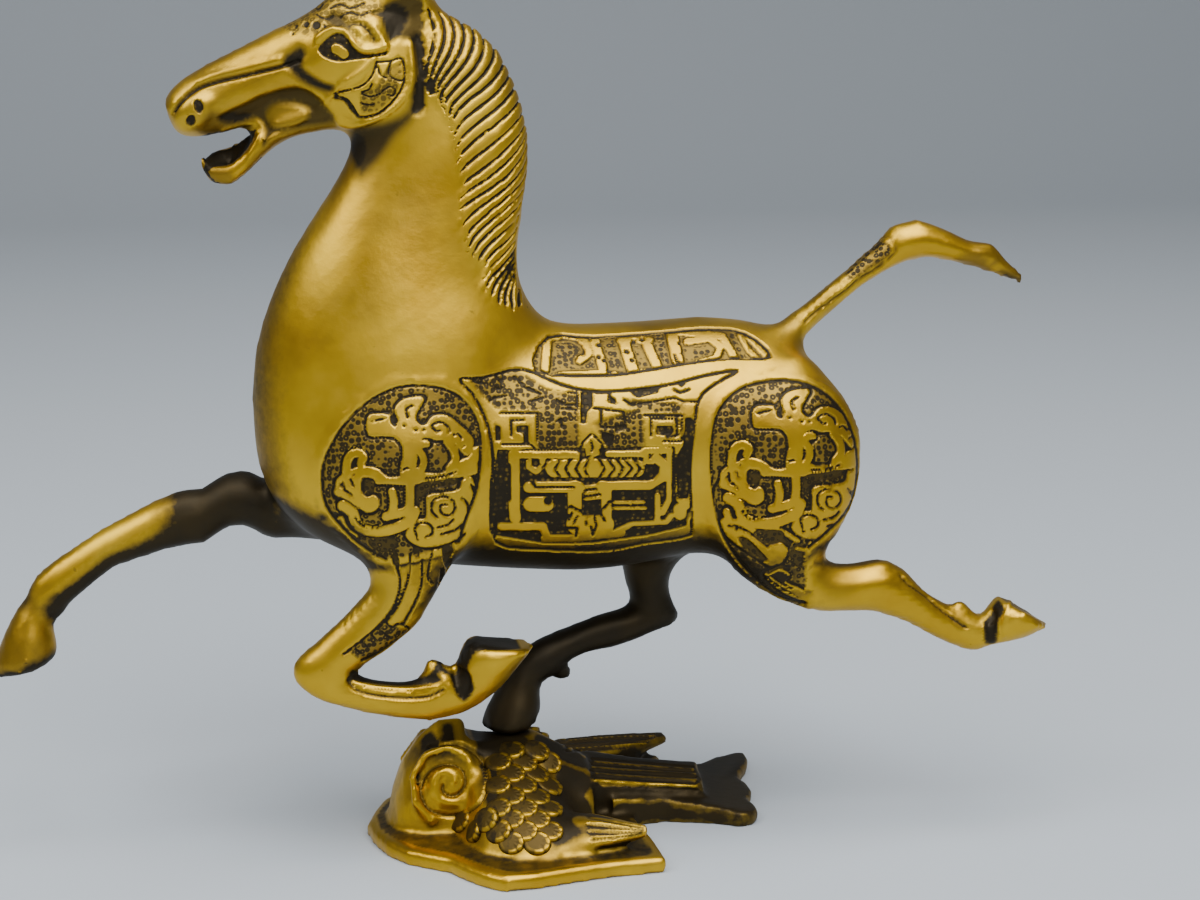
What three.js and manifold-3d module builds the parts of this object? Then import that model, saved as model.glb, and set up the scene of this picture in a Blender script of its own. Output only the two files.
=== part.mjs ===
// A running horse ornament in cast brass, one hind hoof on a plinth of scrolled cloud.
// Millimetres, +Z up. The horse runs towards -X and its near side faces -Y.
// The origin is on the underside of the plinth.
import * as THREE from 'three';
import { mergeVertices } from 'three/addons/utils/BufferGeometryUtils.js';
import Module from 'manifold-3d';

const wasm = await Module();
wasm.setup();

// Driving dimensions
const GAP = 0.3;
const SHORTEST_EDGE = 0.002;
const PLATE_THICKNESS = 4.5;
const PLATE_BEVEL = 1;
const HOOF_REST_HEIGHT = 28.5;
const GROOVE_WIDTH = 1.5;
const GROOVE_DEPTH = 0.55;
const MANE_THICKNESS = 1.7;
const MANE_RIDGE = 0.9;
const MANE_LOCKS = 13;
const MANE_TIP_ANGLE = 1.2;
const MANE_ROOT = 2.2;
const SCALE_LENGTH = 7.5;
const SCALE_WIDTH = 6;
const SCALE_ROOT = 2.4;
const CURL_RADIUS = 12;
const CURL_CORD = 1.3;
const CURL_MIDDLE = { x: -34.5, z: 19.5 };

// Every row below is one rib of a casting: the x and z of its two outline points,
// the y of its middle, and its half width.
const NECK = [
  [-55.5, 204.5, -34, 237.5, 0, 10.5], [-58, 200, -19, 226, 0, 11.5], [-60.5, 193.5, -10.5, 206, 0, 13],
  [-64.5, 187, -10.5, 190, 0, 14.5], [-70.5, 178, -12.5, 174.5, 0, 17], [-77, 167, -13, 162, 0, 20],
  [-82, 156, -4, 149.5, 0, 23], [-85.5, 144, 0, 132.5, 0, 26], [-87, 130, -4.5, 115.5, 0, 27.5],
  [-86.5, 115, -14.5, 98.5, 0, 27], [-83, 103, -30.5, 87.5, 0, 23.5], [-75.5, 94, -45, 83, 0, 17],
  [-66, 88, -54, 85, 0, 8],
];
const TRUNK = [
  [-51, 144, -54, 85, 0, 25], [-31, 148, -35, 80.5, 0, 27], [-11.5, 150, -14.5, 78.5, 0, 28],
  [6, 149, 4, 77, 0, 28], [23, 149, 22, 78, 0, 27.5], [39, 150, 38.5, 80.5, 0, 27],
  [53.5, 149, 55.5, 79, 0, 26], [66, 145, 69.5, 80, 0, 22], [75.5, 133, 78, 92, 0, 14],
];
const SKULL = [
  [-33, 238, -39, 212, 0, 8.5], [-43.5, 244, -43.5, 207, 0, 11], [-55.5, 242.5, -53, 204.5, 0, 12],
  [-66, 238, -63, 207.5, 0, 11.5], [-75, 233, -70.5, 211.5, 0, 9.5], [-84, 228.5, -80, 208, 0, 8],
  [-94, 223.5, -88.5, 204.5, 0, 7.6], [-102, 219, -97, 202.5, 0, 7.6], [-106.8, 214.5, -103.5, 203, 0, 6.4],
  [-108.4, 211, -107, 206.5, 0, 3.6],
];
const LOWER_JAW = [
  [-57, 213, -56, 204, 0, 8], [-69, 213, -66, 203.5, 0, 7], [-79, 210.5, -75, 201.5, 0, 6.4],
  [-84, 204.5, -81, 197.5, 0, 5.8], [-87.5, 198.5, -86, 192.5, 0, 5.4], [-92, 196, -90.5, 189, 0, 5.2],
  [-96.5, 196.5, -95.5, 189.5, 0, 4.2], [-98.6, 196.8, -98, 193.5, 0, 2],
];
const MOUTH_TROUGH = [
  [-81, 208.5, -79.5, 206.5, 0, 1.5], [-86, 206, -84.5, 200.5, 0, 3.4], [-91, 204, -90, 194, 0, 3.6],
  [-96.5, 202, -95.5, 194.8, 0, 2.4],
];
const EAR = [
  [-46.5, 239, -34.5, 238, 6.4, 3.6], [-47.5, 245, -36, 244.5, 7.2, 3.5], [-46, 251, -37.5, 251.5, 8, 2.8],
  [-43.5, 255.5, -39, 256.5, 8.6, 1.9], [-41.2, 258.8, -39.8, 259.3, 9, 0.8],
];
const FORELOCK = [
  [-36, 246, -36, 236, 0, 5], [-44, 249, -44, 238, 0, 5.6], [-52, 247.5, -52, 238, 0, 5.2],
  [-60, 243.5, -60, 237, 0, 4], [-66.5, 239.5, -66, 236.5, 0, 2],
];
const NEAR_SHOULDER = [
  [-58, 137, -33, 138, -16, 7], [-66, 128.5, -24.5, 130, -17, 12], [-69, 118.5, -21, 118, -18, 13.4],
  [-70, 109.5, -21, 107.5, -18.5, 13.2], [-67.5, 100, -23.5, 97.5, -19, 12.6],
  [-61.5, 92.5, -29, 89.5, -19, 11],
];
const NEAR_FOREARM = [
  [-56.5, 84.5, -34.5, 83.5, -19.7, 8.5], [-57, 79.5, -37, 77.5, -20, 7.2],
  [-64.5, 71.5, -44, 68, -20, 6.2], [-71.5, 65.5, -52, 61.5, -20, 5.8], [-78, 60, -60.5, 57, -20, 5.8],
  [-78.5, 53, -62, 55, -20, 5.7], [-71, 47.5, -61, 55, -20, 5.3], [-57, 43.5, -54.5, 53.5, -20, 4.8],
  [-47.5, 41.5, -47.5, 52.5, -20, 4.8], [-40.5, 40.5, -41, 54, -20, 5.2], [-35, 41, -37.5, 58, -20, 5.2],
  [-30, 42.5, -33.5, 54.5, -20, 4.6], [-26.5, 44.5, -32.5, 55.5, -20, 6], [-20, 49.5, -32, 60, -20, 8],
  [-10.5, 61, -30.5, 63.5, -20, 9.5],
];
const FAR_FORELEG = [
  [-58, 101, -48, 90, 14, 11], [-73, 105, -65, 84, 15, 12], [-84, 103.5, -76, 86, 16, 10],
  [-92, 101.5, -89.5, 85.5, 16, 8.5], [-106, 102, -105, 85, 16, 7.2], [-114, 99, -111, 84, 16, 6.5],
  [-130.5, 90.5, -126.5, 79.5, 16, 5.6], [-144, 82, -137, 71, 16, 5.5], [-149.5, 77, -142, 67.5, 16, 5],
  [-151.5, 71.5, -145, 66.5, 16, 4.5], [-154, 69, -144.5, 64.5, 16, 5.5], [-158, 62, -143, 60, 16, 7.5],
  [-161, 54.5, -142.5, 55.5, 16, 8.8], [-162.5, 49, -145, 52.5, 16, 9],
];
const NEAR_HAUNCH = [
  [53, 139, 68, 141.5, -12, 7], [41, 131, 79, 130, -15, 12.5], [36.5, 121.5, 83.5, 120, -16.5, 14],
  [35.5, 110.5, 84.5, 108.5, -17, 14.5], [36, 99, 82.5, 97, -17.5, 14], [40.5, 87, 75.5, 87, -18, 12],
];
const NEAR_HIND_LEG = [
  [48, 77.5, 72, 83, -18, 10], [59, 70, 73.5, 81.5, -18, 8.5],
  [68, 66.5, 78, 80, -18, 7.5], [79, 66, 83, 80, -18, 7], [88, 65.5, 90.5, 81.5, -18, 6.6],
  [98.5, 61.5, 97, 78, -18, 5.8], [106, 57, 103, 71, -18, 5.2], [112, 54, 110.5, 66.5, -18, 5],
  [119, 51.5, 116.5, 65, -18, 5.2], [122.5, 53.5, 121.5, 62, -18, 4.8], [126.5, 54, 123.5, 65.5, -18, 6.5],
  [133.5, 55.5, 125.5, 68, -18, 9], [141, 59, 127, 67.5, -18, 9],
];
const FAR_HIND_LEG = [
  [32, 104, 60, 96, 14, 12], [26, 97, 55, 86, 14, 12], [17.5, 80, 41, 78, 14, 10.5],
  [20.5, 71.5, 34.5, 70.5, 14, 8.5], [22.5, 65, 35, 65, 13.5, 7], [23, 61.5, 37.5, 60, 13, 6.2],
  [21.5, 61.5, 37.5, 55.5, 13, 6], [14.5, 60.5, 19, 50, 11.5, 5.3], [5, 57.5, 10, 49, 10.5, 5],
  [-3.5, 55, 3, 47, 9, 5.5], [-9.5, 52.5, 0, 42.5, 8, 5.4], [-13.5, 47.5, -5, 43, 7.5, 5.2],
  [-17, 42, -5, 39, 7, 6], [-21, 35.5, -4.5, 35, 6.5, 8], [-23.5, 28.5, -7, 28.5, 6, 9],
];
const TAIL = [
  [52, 138, 56, 130, 0, 6], [61.5, 146.5, 67, 138.5, 0, 5.4], [70, 151.8, 74, 146, 0, 4.2],
  [83.5, 162.5, 87.5, 157.3, 0, 4], [90.5, 168.5, 94.5, 161.3, 0, 5], [96.5, 175, 101, 164, 0, 5.6],
  [104, 176.5, 106.5, 165, 0, 5.8], [112, 173.5, 112.5, 164, 0, 5.4], [119, 170, 120.5, 162, 0, 4.6],
  [126.5, 169, 126.5, 160, 0, 3.8], [131, 163.5, 131, 158.3, 0, 3], [136, 160, 135.5, 156.5, 0, 1.6],
];
// The small spurs behind the fetlocks: x, y and z of the middle.
const SPURS = [[-39.5, -20, 56.5], [114.5, -18, 65], [2, 9, 43.5], [-142.5, 16, 68]];
const SPUR_RADIUS = 3;
// Small forms on both sides of the head: middle x, distance from the middle plane, z, and three radii.
const EYE = [-61, 10.6, 227.2, 4.4, 1.9, 2.6];
const BROW = [-58.5, 10.2, 231.6, 7.5, 2.2, 2.2];
const CHEEK = [-50.5, 8, 216.5, 11.5, 5.2, 11.5];
const MUZZLE_PAD = [-99.5, 5.6, 210, 5, 3, 5];
const NOSTRIL = [-100, 8.9, 210.5, 1.7, 1.8, 1.5];
const LIP_CORNER = [-76, 9.4, 206.3, 9, 1.8, 1.6];
const EAR_HOLLOW = [-41, 9.2, 251, 2.2, 1.6, 6];

// Places of the carved panels on the near side, as x and z.
const SHOULDER_PANEL = { x: -48, z: 113.5, halfLength: 21.3, halfHeight: 23.5, droop: 0.12 };
const HAUNCH_PANEL = { x: 58.5, z: 106, halfLength: 20.6, halfHeight: 30, droop: 0.16 };
const FAR_HAUNCH_PANEL = { x: 58.5, z: 110, halfLength: 19.5, halfHeight: 22, droop: 0.1 };
const LEG_PANEL = [
  [-50, 86], [-50.2, 77], [-55.5, 70], [-64, 63], [-59, 61.6], [-46, 68.5], [-38.5, 76.5], [-35.5, 86.5],
];
const SADDLE_PANEL = [
  [-30, 137.5], [-14, 139.5], [-2, 137], [8, 134.5], [24, 135.5], [38, 137], [34, 128], [32.4, 112],
  [32.6, 94], [18, 91.5], [4, 90], [-9, 91], [-22, 93.5], [-22.6, 106], [-22.8, 117], [-24.4, 127],
];
const SADDLE_FRET = [
  [[-14, 100], [-14, 116], [-4, 116], [-4, 108], [-9, 108]],
  [[24, 100], [24, 116], [14, 116], [14, 108], [19, 108]],
  [[-18, 121], [-18, 131], [-9, 131], [-9, 124], [0, 124]],
  [[28, 121], [28, 131], [19, 131], [19, 124], [10, 124]],
];
// The strip along the back, as x and y.
const BACK_STRIP = [
  [-6, -19], [8, -20.5], [30, -19.5], [46, -17], [55, -14],
  [55, 14], [46, 17], [30, 19.5], [8, 20.5], [-6, 19],
];

// Plinth: outlines seen from above, as x and y.
const PLATE_OUTLINE = [
  [-57, 0], [-54.5, -14], [-47, -26.5], [-38, -32.5], [-30.5, -44], [-23, -50.3], [-8, -47.8], [8, -44.6],
];
const PLATE_CORNER = [23, -43.7];
const PLATE_FAR = [[38, 44], [12, 48], [-12, 47], [-30, 42], [-42, 29], [-51, 18]];
const PLATE_WAIST = [[22, -24], [20, -8], [22, 8], [29, 28]];
const PLATE_MIDDLE = [-10, 0];
const FAN_ROOT_EDGE = [[30, 24], [14, 20], [14, -8], [30, -4.6], [44, -8.6]];
const FAN_LOBES = [
  [51, -12.6], [56, -11], [58, -5], [56.5, 2], [59.5, 8], [60, 15], [58.3, 22], [62, 29], [65, 37],
  [65, 45], [60, 43.5], [47, 31],
];
const FAN_MIDDLE = [35, 10];
const FAN_ROOT = { x: 14, height: 9.5 };
const FAN_END = { x: 60, height: 3.5 };
// Swell of the cloud: x, height of its top, y of its middle and half width.
const SWELL = [
  [-50.6, 7.5, 0, 5], [-49, 15, 0, 10], [-46.5, 22.5, 0, 13], [-42, 29.5, 0, 15], [-36.5, 34, 0, 15.5],
  [-30, 34.5, 0, 15.8], [-24, 30.5, 0.5, 16.5], [-17, 29, 1, 17.5], [-9, 29.5, 2, 18], [-2, 25, 3, 18],
  [8, 19, 4, 17],
];
const SWELL_FOOT = { height: 3, depth: 1.5 };
// Ridged streamers: x and y of both edges, z of the middle and half height, from root to tip.
const NEAR_STREAMER = [
  [-8, -18, -9, -35, 5, 5], [0, -18, -1, -39, 8, 6],
  [8, -24, 7, -40, 8.6, 4.8], [18.5, -36, 18.5, -39.2, 10.6, 1.8],
];
const MIDDLE_STREAMER = [
  [-4, -11, -4, 21, 10, 10], [8, -9, 8, 23, 10, 8.6],
  [24, -5.4, 24, 24.4, 8, 6.4], [42.5, -2.8, 45, 25.5, 7.6, 3.4],
];
const FAR_STREAMER = [
  [-8, 18, -8, 36, 5, 5], [4, 20, 2, 43, 8, 6.4],
  [22, 29, 20, 47, 8.4, 4.6], [40.5, 42.5, 39.5, 47, 9.4, 1.8],
];
const STREAMER_RIDGE = { valley: 0.86, crest: 1.04 };
// Mantle: x of its leading and trailing edge and height of its top, at each distance from the middle.
const MANTLE = [
  { y: 8, lead: -33, trail: 4, top: 26 }, { y: 16, lead: -33.5, trail: 4, top: 21.5 },
  { y: 25, lead: -31.5, trail: 5, top: 16.5 }, { y: 33, lead: -28, trail: 6, top: 11.5 },
  { y: 38.5, lead: -22, trail: 7, top: 7 },
];
const MANTLE_FOOT = 4;
// Rows of scales: x of the first row, step between rows, and where the columns lie across.
const SCALE_ROWS = { first: -27, step: 5.4, count: 6 };
const SCALE_COLUMNS = { first: 12.5, step: 5.6, near: 5, far: 2 };

// A closed surface over a list of ribs. Each rib gives two outline points and a side point.
class Casting {
  constructor(ribs) {
    const curve = (pick) => new THREE.CatmullRomCurve3(ribs.map(pick), false, 'centripetal');
    this.first = curve((r) => r.first);
    this.second = curve((r) => r.second);
    this.side = curve((r) => r.side);
    this.count = ribs.length;
  }

  // The point at a share of the length and at an angle, which is 0 at the second outline.
  point(along, angle) {
    const first = this.first.getPoint(along);
    const second = this.second.getPoint(along);
    const middle = first.clone().add(second).multiplyScalar(0.5);
    const across = second.sub(middle);
    const out = this.side.getPoint(along).sub(middle);
    return middle.addScaledVector(across, Math.cos(angle)).addScaledVector(out, Math.sin(angle));
  }

  normal(along, angle) {
    const step = 0.004;
    const low = Math.max(0, along - step);
    const high = Math.min(1, along + step);
    const lengthwise = this.point(high, angle).sub(this.point(low, angle));
    const round = this.point(along, angle + step).sub(this.point(along, angle - step));
    const normal = lengthwise.cross(round).normalize();
    const middle = this.point(along, 0).add(this.point(along, Math.PI)).multiplyScalar(0.5);
    return normal.dot(this.point(along, angle).sub(middle)) < 0 ? normal.negate() : normal;
  }

  // Rings of points from end to end; swell(k) may push every ring's k-th point outwards.
  geometry(sides, swell = () => 1) {
    const rings = Array.from({ length: this.count }, (_, i) => {
      const along = i / (this.count - 1);
      const middle = this.point(along, 0).add(this.point(along, Math.PI)).multiplyScalar(0.5);
      return Array.from({ length: sides }, (__, k) => {
        const point = this.point(along, (k / sides) * 2 * Math.PI);
        return point.sub(middle).multiplyScalar(swell(k)).add(middle);
      });
    });
    return tubeOfRings(rings);
  }
}

// Joins rings of equal length to one closed skin, with a fan over each end.
function tubeOfRings(rings, closed = false) {
  const sides = rings[0].length;
  const points = rings.flat();
  const faces = [];
  const last = closed ? rings.length : rings.length - 1;
  for (let i = 0; i < last; i += 1) {
    const here = i * sides;
    const next = ((i + 1) % rings.length) * sides;
    for (let k = 0; k < sides; k += 1) {
      const l = (k + 1) % sides;
      faces.push([here + k, next + l, next + k], [here + k, here + l, next + l]);
    }
  }
  if (!closed) {
    const ends = [[0, false], [(rings.length - 1) * sides, true]];
    for (const [start, turned] of ends) {
      const middle = new THREE.Vector3();
      for (let k = 0; k < sides; k += 1) middle.addScaledVector(points[start + k], 1 / sides);
      points.push(middle);
      for (let k = 0; k < sides; k += 1) {
        const l = (k + 1) % sides;
        const face = [start + k, start + l, points.length - 1];
        faces.push(turned ? face : face.reverse());
      }
    }
  }
  return { points, faces };
}

// A solid from a list of points and faces, turned the right way round.
function solidFrom({ points, faces }) {
  let volume = 0;
  for (const [a, b, c] of faces) volume += points[a].dot(points[b].clone().cross(points[c]));
  const turned = volume < 0 ? faces.map(([a, b, c]) => [a, c, b]) : faces;
  return new wasm.Manifold(new wasm.Mesh({
    numProp: 3,
    vertProperties: new Float32Array(points.flatMap((p) => [p.x, p.y, p.z])),
    triVerts: new Uint32Array(turned.flat()),
  }));
}

function solidFromGeometry(geometry) {
  const bare = geometry.clone();
  bare.deleteAttribute('normal');
  bare.deleteAttribute('uv');
  const merged = mergeVertices(bare, 1e-4);
  return new wasm.Manifold(new wasm.Mesh({
    numProp: 3,
    vertProperties: new Float32Array(merged.attributes.position.array),
    triVerts: new Uint32Array(merged.index.array),
  }));
}

// Corners that nearly coincide become one, and the faces that
// this flattens to a line are dropped.
function withoutSlivers(geometry) {
  const merged = mergeVertices(geometry, SHORTEST_EDGE);
  const corners = merged.index.array;
  const kept = [];
  for (let i = 0; i < corners.length; i += 3) {
    const [a, b, c] = corners.slice(i, i + 3);
    if (a !== b && b !== c && c !== a) kept.push(a, b, c);
  }
  merged.setIndex(withoutChips(kept));
  merged.computeVertexNormals();
  return merged;
}

// Drops the tiny chips that a cut can leave loose: only the largest connected skin stays.
function withoutChips(corners) {
  const parent = new Map();
  const rootOf = (corner) => {
    let root = corner;
    while (parent.get(root) !== root) root = parent.get(root);
    parent.set(corner, root);
    return root;
  };
  for (const corner of corners) parent.set(corner, corner);
  for (let i = 0; i < corners.length; i += 3) {
    parent.set(rootOf(corners[i + 1]), rootOf(corners[i]));
    parent.set(rootOf(corners[i + 2]), rootOf(corners[i]));
  }
  const sizes = new Map();
  for (const corner of corners) sizes.set(rootOf(corner), (sizes.get(rootOf(corner)) ?? 0) + 1);
  const largest = [...sizes.keys()].reduce((a, b) => (sizes.get(a) >= sizes.get(b) ? a : b));
  return corners.filter((_, i) => rootOf(corners[i - (i % 3)]) === largest);
}

function geometryFrom(solid) {
  const mesh = solid.getMesh();
  const geometry = new THREE.BufferGeometry();
  const positions = new Float32Array(mesh.numVert * 3);
  for (let i = 0; i < mesh.numVert; i += 1) {
    for (let j = 0; j < 3; j += 1) positions[3 * i + j] = mesh.vertProperties[mesh.numProp * i + j];
  }
  geometry.setAttribute('position', new THREE.BufferAttribute(positions, 3));
  geometry.setIndex(new THREE.BufferAttribute(new Uint32Array(mesh.triVerts), 1));
  return withoutSlivers(geometry);
}

const uprightRib = ([x1, z1, x2, z2, y, halfWidth]) => ({
  first: new THREE.Vector3(x1, y, z1),
  second: new THREE.Vector3(x2, y, z2),
  side: new THREE.Vector3((x1 + x2) / 2, y - halfWidth, (z1 + z2) / 2),
});
const flatRib = ([x1, y1, x2, y2, z, halfHeight]) => ({
  first: new THREE.Vector3(x1, y1, z),
  second: new THREE.Vector3(x2, y2, z),
  side: new THREE.Vector3((x1 + x2) / 2, (y1 + y2) / 2, z + halfHeight),
});
const mirroredRows = (rows) => rows.map(([x1, z1, x2, z2, y, w]) => [x1, z1, x2, z2, -y, w]);
const castingOf = (rows) => new Casting(rows.map(uprightRib));

function ellipsoid([x, y, z, radiusX, radiusY, radiusZ], sides = 8, rings = 5) {
  const geometry = new THREE.SphereGeometry(1, sides, rings);
  geometry.scale(radiusX, radiusY, radiusZ);
  geometry.translate(x, y, z);
  return solidFromGeometry(geometry);
}

const onSide = ([x, y, z, ...radii], side) => [x, side * y, z, ...radii];

function join(solids) {
  return solids.reduce((sum, solid) => sum.add(solid));
}

// The mane stands proud of the neck, from the tips of the locks on one side, over the
// crest, to the tips on the other side. The locks sweep down and forwards in an S.
function maneSolid(neck) {
  const across = 6;
  const rows = MANE_LOCKS * 2;
  const rings = [];
  for (let i = 0; i <= rows; i += 1) {
    const share = i / rows;
    const outer = [];
    const inner = [];
    for (let k = 0; k <= across; k += 1) {
      const side = (k / across) * 2 - 1;
      const fall = Math.abs(side) ** 1.3 * (0.06 + 0.12 * Math.sin(Math.PI * share * 0.9));
      const along = 0.008 + 0.43 * share + fall;
      const angle = side * MANE_TIP_ANGLE * (1 - 0.6 * share ** 3);
      const taper = Math.min(1, 4 * (1 - Math.abs(side)), 6 * (1.02 - share), 2.5 * (share + 0.25));
      const ridge = (i % 2 ? 0.5 : -0.5) * MANE_RIDGE * taper;
      const normal = neck.normal(along, angle);
      const skin = neck.point(along, angle);
      outer.push(skin.clone().addScaledVector(normal, MANE_THICKNESS * taper + ridge - 0.3));
      inner.unshift(skin.clone().addScaledVector(normal, -MANE_ROOT));
    }
    rings.push([...outer, ...inner]);
  }
  return solidFrom(tubeOfRings(rings));
}

// A path on the skin: each x, z point is carried sideways until it meets the solid.
function pathOnSide(mesh, outline, side) {
  const ray = new THREE.Raycaster();
  const far = 90;
  return outline.flatMap(([x, z]) => {
    ray.set(new THREE.Vector3(x, side * far, z), new THREE.Vector3(0, -side, 0));
    const hits = ray.intersectObject(mesh);
    return hits.length ? [hits[0].point] : [];
  });
}

// A V-shaped cut that follows points on the skin; outwards points away from the solid.
function groove(points, outwards, closed, width = GROOVE_WIDTH, depth = GROOVE_DEPTH) {
  const rings = points.map((point, i) => {
    const before = points[closed ? (i + points.length - 1) % points.length : Math.max(0, i - 1)];
    const after = points[closed ? (i + 1) % points.length : Math.min(points.length - 1, i + 1)];
    const along = after.clone().sub(before).normalize();
    const up = outwards(point);
    const across = along.clone().cross(up).normalize();
    const rim = depth * 1.2;
    const reach = width * 0.5 * (1 + rim / depth);
    return [
      point.clone().addScaledVector(across, reach).addScaledVector(up, rim),
      point.clone().addScaledVector(across, -reach).addScaledVector(up, rim),
      point.clone().addScaledVector(up, -depth),
    ];
  });
  return solidFrom(tubeOfRings(rings, closed));
}

// Extra points along an open or closed outline, so that a cut follows the curved skin.
function refined(outline, spacing, closed) {
  const result = [];
  const last = closed ? outline.length : outline.length - 1;
  for (let i = 0; i < last; i += 1) {
    const [x1, z1] = outline[i];
    const [x2, z2] = outline[(i + 1) % outline.length];
    const pieces = Math.max(1, Math.round(Math.hypot(x2 - x1, z2 - z1) / spacing));
    for (let k = 0; k < pieces; k += 1) {
      result.push([x1 + ((x2 - x1) * k) / pieces, z1 + ((z2 - z1) * k) / pieces]);
    }
  }
  if (!closed) result.push(outline[outline.length - 1]);
  return result;
}

function roundedPanel({ x, z, halfLength, halfHeight, droop }, count = 12) {
  return Array.from({ length: count }, (_, i) => {
    const angle = (i / count) * 2 * Math.PI;
    const high = Math.sin(angle);
    const long = Math.cos(angle) * (1 + droop * high);
    return [x + halfLength * long, z + halfHeight * high];
  });
}

// A scroll inside a rounded panel: a spiral from its eye outwards.
function scroll(x, z, radius, turns, start, count = 8) {
  return Array.from({ length: count }, (_, i) => {
    const share = i / (count - 1);
    const angle = start + turns * 2 * Math.PI * share;
    const reach = radius * (0.22 + 0.78 * share);
    return [x + reach * Math.cos(angle), z + reach * Math.sin(angle)];
  });
}

function bodySolid() {
  const neck = castingOf(NECK);
  const cast = (rows, sides) => solidFrom(castingOf(rows).geometry(sides));
  return join([
    solidFrom(neck.geometry(16)),
    cast(TRUNK, 16),
    cast([...NEAR_SHOULDER, ...NEAR_FOREARM], 10),
    cast([...NEAR_HAUNCH, ...NEAR_HIND_LEG], 10),
    cast(mirroredRows(NEAR_SHOULDER), 10),
    cast(mirroredRows(NEAR_HAUNCH), 10),
    cast(FAR_FORELEG, 8),
    cast(FAR_HIND_LEG, 8),
    cast(TAIL, 7),
    ...SPURS.map((middle) => ellipsoid([...middle, SPUR_RADIUS, SPUR_RADIUS * 0.8, SPUR_RADIUS], 6, 4)),
    maneSolid(neck),
  ]);
}

// The head, and the trough that opens its mouth, which is cut out after head and neck are one.
function headSolid() {
  const forms = [-1, 1].flatMap((side) => [
    ellipsoid(onSide(EYE, side), 7, 4),
    ellipsoid(onSide(BROW, side), 7, 4),
    ellipsoid(onSide(CHEEK, side), 11, 5),
    ellipsoid(onSide(MUZZLE_PAD, side), 7, 4),
    solidFrom(castingOf(side < 0 ? mirroredRows(EAR) : EAR).geometry(7)),
  ]);
  const hollows = [-1, 1].flatMap((side) => [
    ellipsoid(onSide(NOSTRIL, side), 6, 4),
    ellipsoid(onSide(LIP_CORNER, side), 7, 4),
    ellipsoid(onSide(EAR_HOLLOW, side), 6, 4),
  ]);
  const upper = solidFrom(castingOf(SKULL).geometry(12));
  const skull = join([
    upper,
    solidFrom(castingOf(LOWER_JAW).geometry(8)),
    solidFrom(castingOf(FORELOCK).geometry(7)),
    ...forms,
  ]);
  const trough = solidFrom(castingOf(MOUTH_TROUGH).geometry(8));
  return { solid: skull.subtract(join(hollows)), trough: trough.subtract(upper) };
}

function carved(solid) {
  const mesh = new THREE.Mesh(geometryFrom(solid), new THREE.MeshBasicMaterial());
  mesh.material.side = THREE.DoubleSide;
  mesh.updateMatrixWorld();
  const cuts = [];
  for (const side of [-1, 1]) {
    const outwards = (point) => new THREE.Vector3(0, side * 20, (point.z - 112) * 0.35).normalize();
    const cut = (outline, closed) => cuts.push(groove(pathOnSide(mesh, outline, side), outwards, closed));
    cut(roundedPanel(SHOULDER_PANEL), true);
    cut(roundedPanel(side < 0 ? HAUNCH_PANEL : FAR_HAUNCH_PANEL), true);
    if (side < 0) {
      cut(refined(SADDLE_PANEL, 12, true), true);
      cut(refined(LEG_PANEL, 15, false), false);
      for (const line of SADDLE_FRET) cut(refined(line, 8, false), false);
      for (const { x, z } of [SHOULDER_PANEL, HAUNCH_PANEL]) {
        cut(scroll(x, z + 4, 10.5, 1.25, 0.5), false);
      }
    }
  }
  const overhead = new THREE.Raycaster();
  const strip = refined(BACK_STRIP, 18, true).map(([x, y]) => {
    overhead.set(new THREE.Vector3(x, y, 300), new THREE.Vector3(0, 0, -1));
    return overhead.intersectObject(mesh)[0].point;
  });
  cuts.push(groove(strip, (point) => new THREE.Vector3(0, point.y * 0.04, 1).normalize(), true));
  return solid.subtract(join(cuts));
}

// Points along a smooth curve through the given x, y points.
function smoothed(points, count) {
  const corners = points.map(([x, y]) => new THREE.Vector3(x, y, 0));
  const curve = new THREE.CatmullRomCurve3(corners, false, 'centripetal');
  return curve.getPoints(count).map(({ x, y }) => [x, y]);
}

// A slab over an outline that every part of can be seen from its middle. Each level
// of its rim has an inset and a height, which may depend on x.
function slab(outline, [middleX, middleY], levels) {
  const rings = levels.map(({ inset, height }) => outline.map(([x, y]) => {
    const share = 1 - inset / Math.hypot(x - middleX, y - middleY);
    const px = middleX + (x - middleX) * share;
    return new THREE.Vector3(px, middleY + (y - middleY) * share, height(px));
  }));
  return solidFrom(tubeOfRings(rings));
}

function plateSolid() {
  const near = smoothed([...PLATE_OUTLINE, PLATE_CORNER], 13);
  const far = smoothed([...PLATE_FAR, PLATE_OUTLINE[0]], 12).slice(0, -1);
  return slab([...near, ...PLATE_WAIST, ...far], PLATE_MIDDLE, [
    { inset: 0, height: () => 0 },
    { inset: 0, height: () => PLATE_THICKNESS - PLATE_BEVEL },
    { inset: PLATE_BEVEL, height: () => PLATE_THICKNESS },
  ]);
}

// The rear part is a fan with a hollow end, high at its root and thin at its end.
function fanSolid() {
  const top = (x) => {
    const share = THREE.MathUtils.clamp((x - FAN_ROOT.x) / (FAN_END.x - FAN_ROOT.x), 0, 1);
    return FAN_ROOT.height + (FAN_END.height - FAN_ROOT.height) * share;
  };
  return slab([...FAN_ROOT_EDGE, ...smoothed(FAN_LOBES, 15)], FAN_MIDDLE, [
    { inset: 0, height: () => 0 },
    { inset: 0, height: (x) => top(x) - PLATE_BEVEL / 2 },
    { inset: PLATE_BEVEL / 2, height: top },
  ]);
}

function swellSolid() {
  const sides = 12;
  const rings = SWELL.map(([x, top, y, halfWidth]) => Array.from({ length: sides }, (_, k) => {
    const angle = (k / sides) * 2 * Math.PI;
    const up = Math.cos(angle);
    const reach = up > 0 ? top - SWELL_FOOT.height : SWELL_FOOT.depth;
    return new THREE.Vector3(x, y + halfWidth * Math.sin(angle), SWELL_FOOT.height + reach * up);
  }));
  return solidFrom(tubeOfRings(rings));
}

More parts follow.
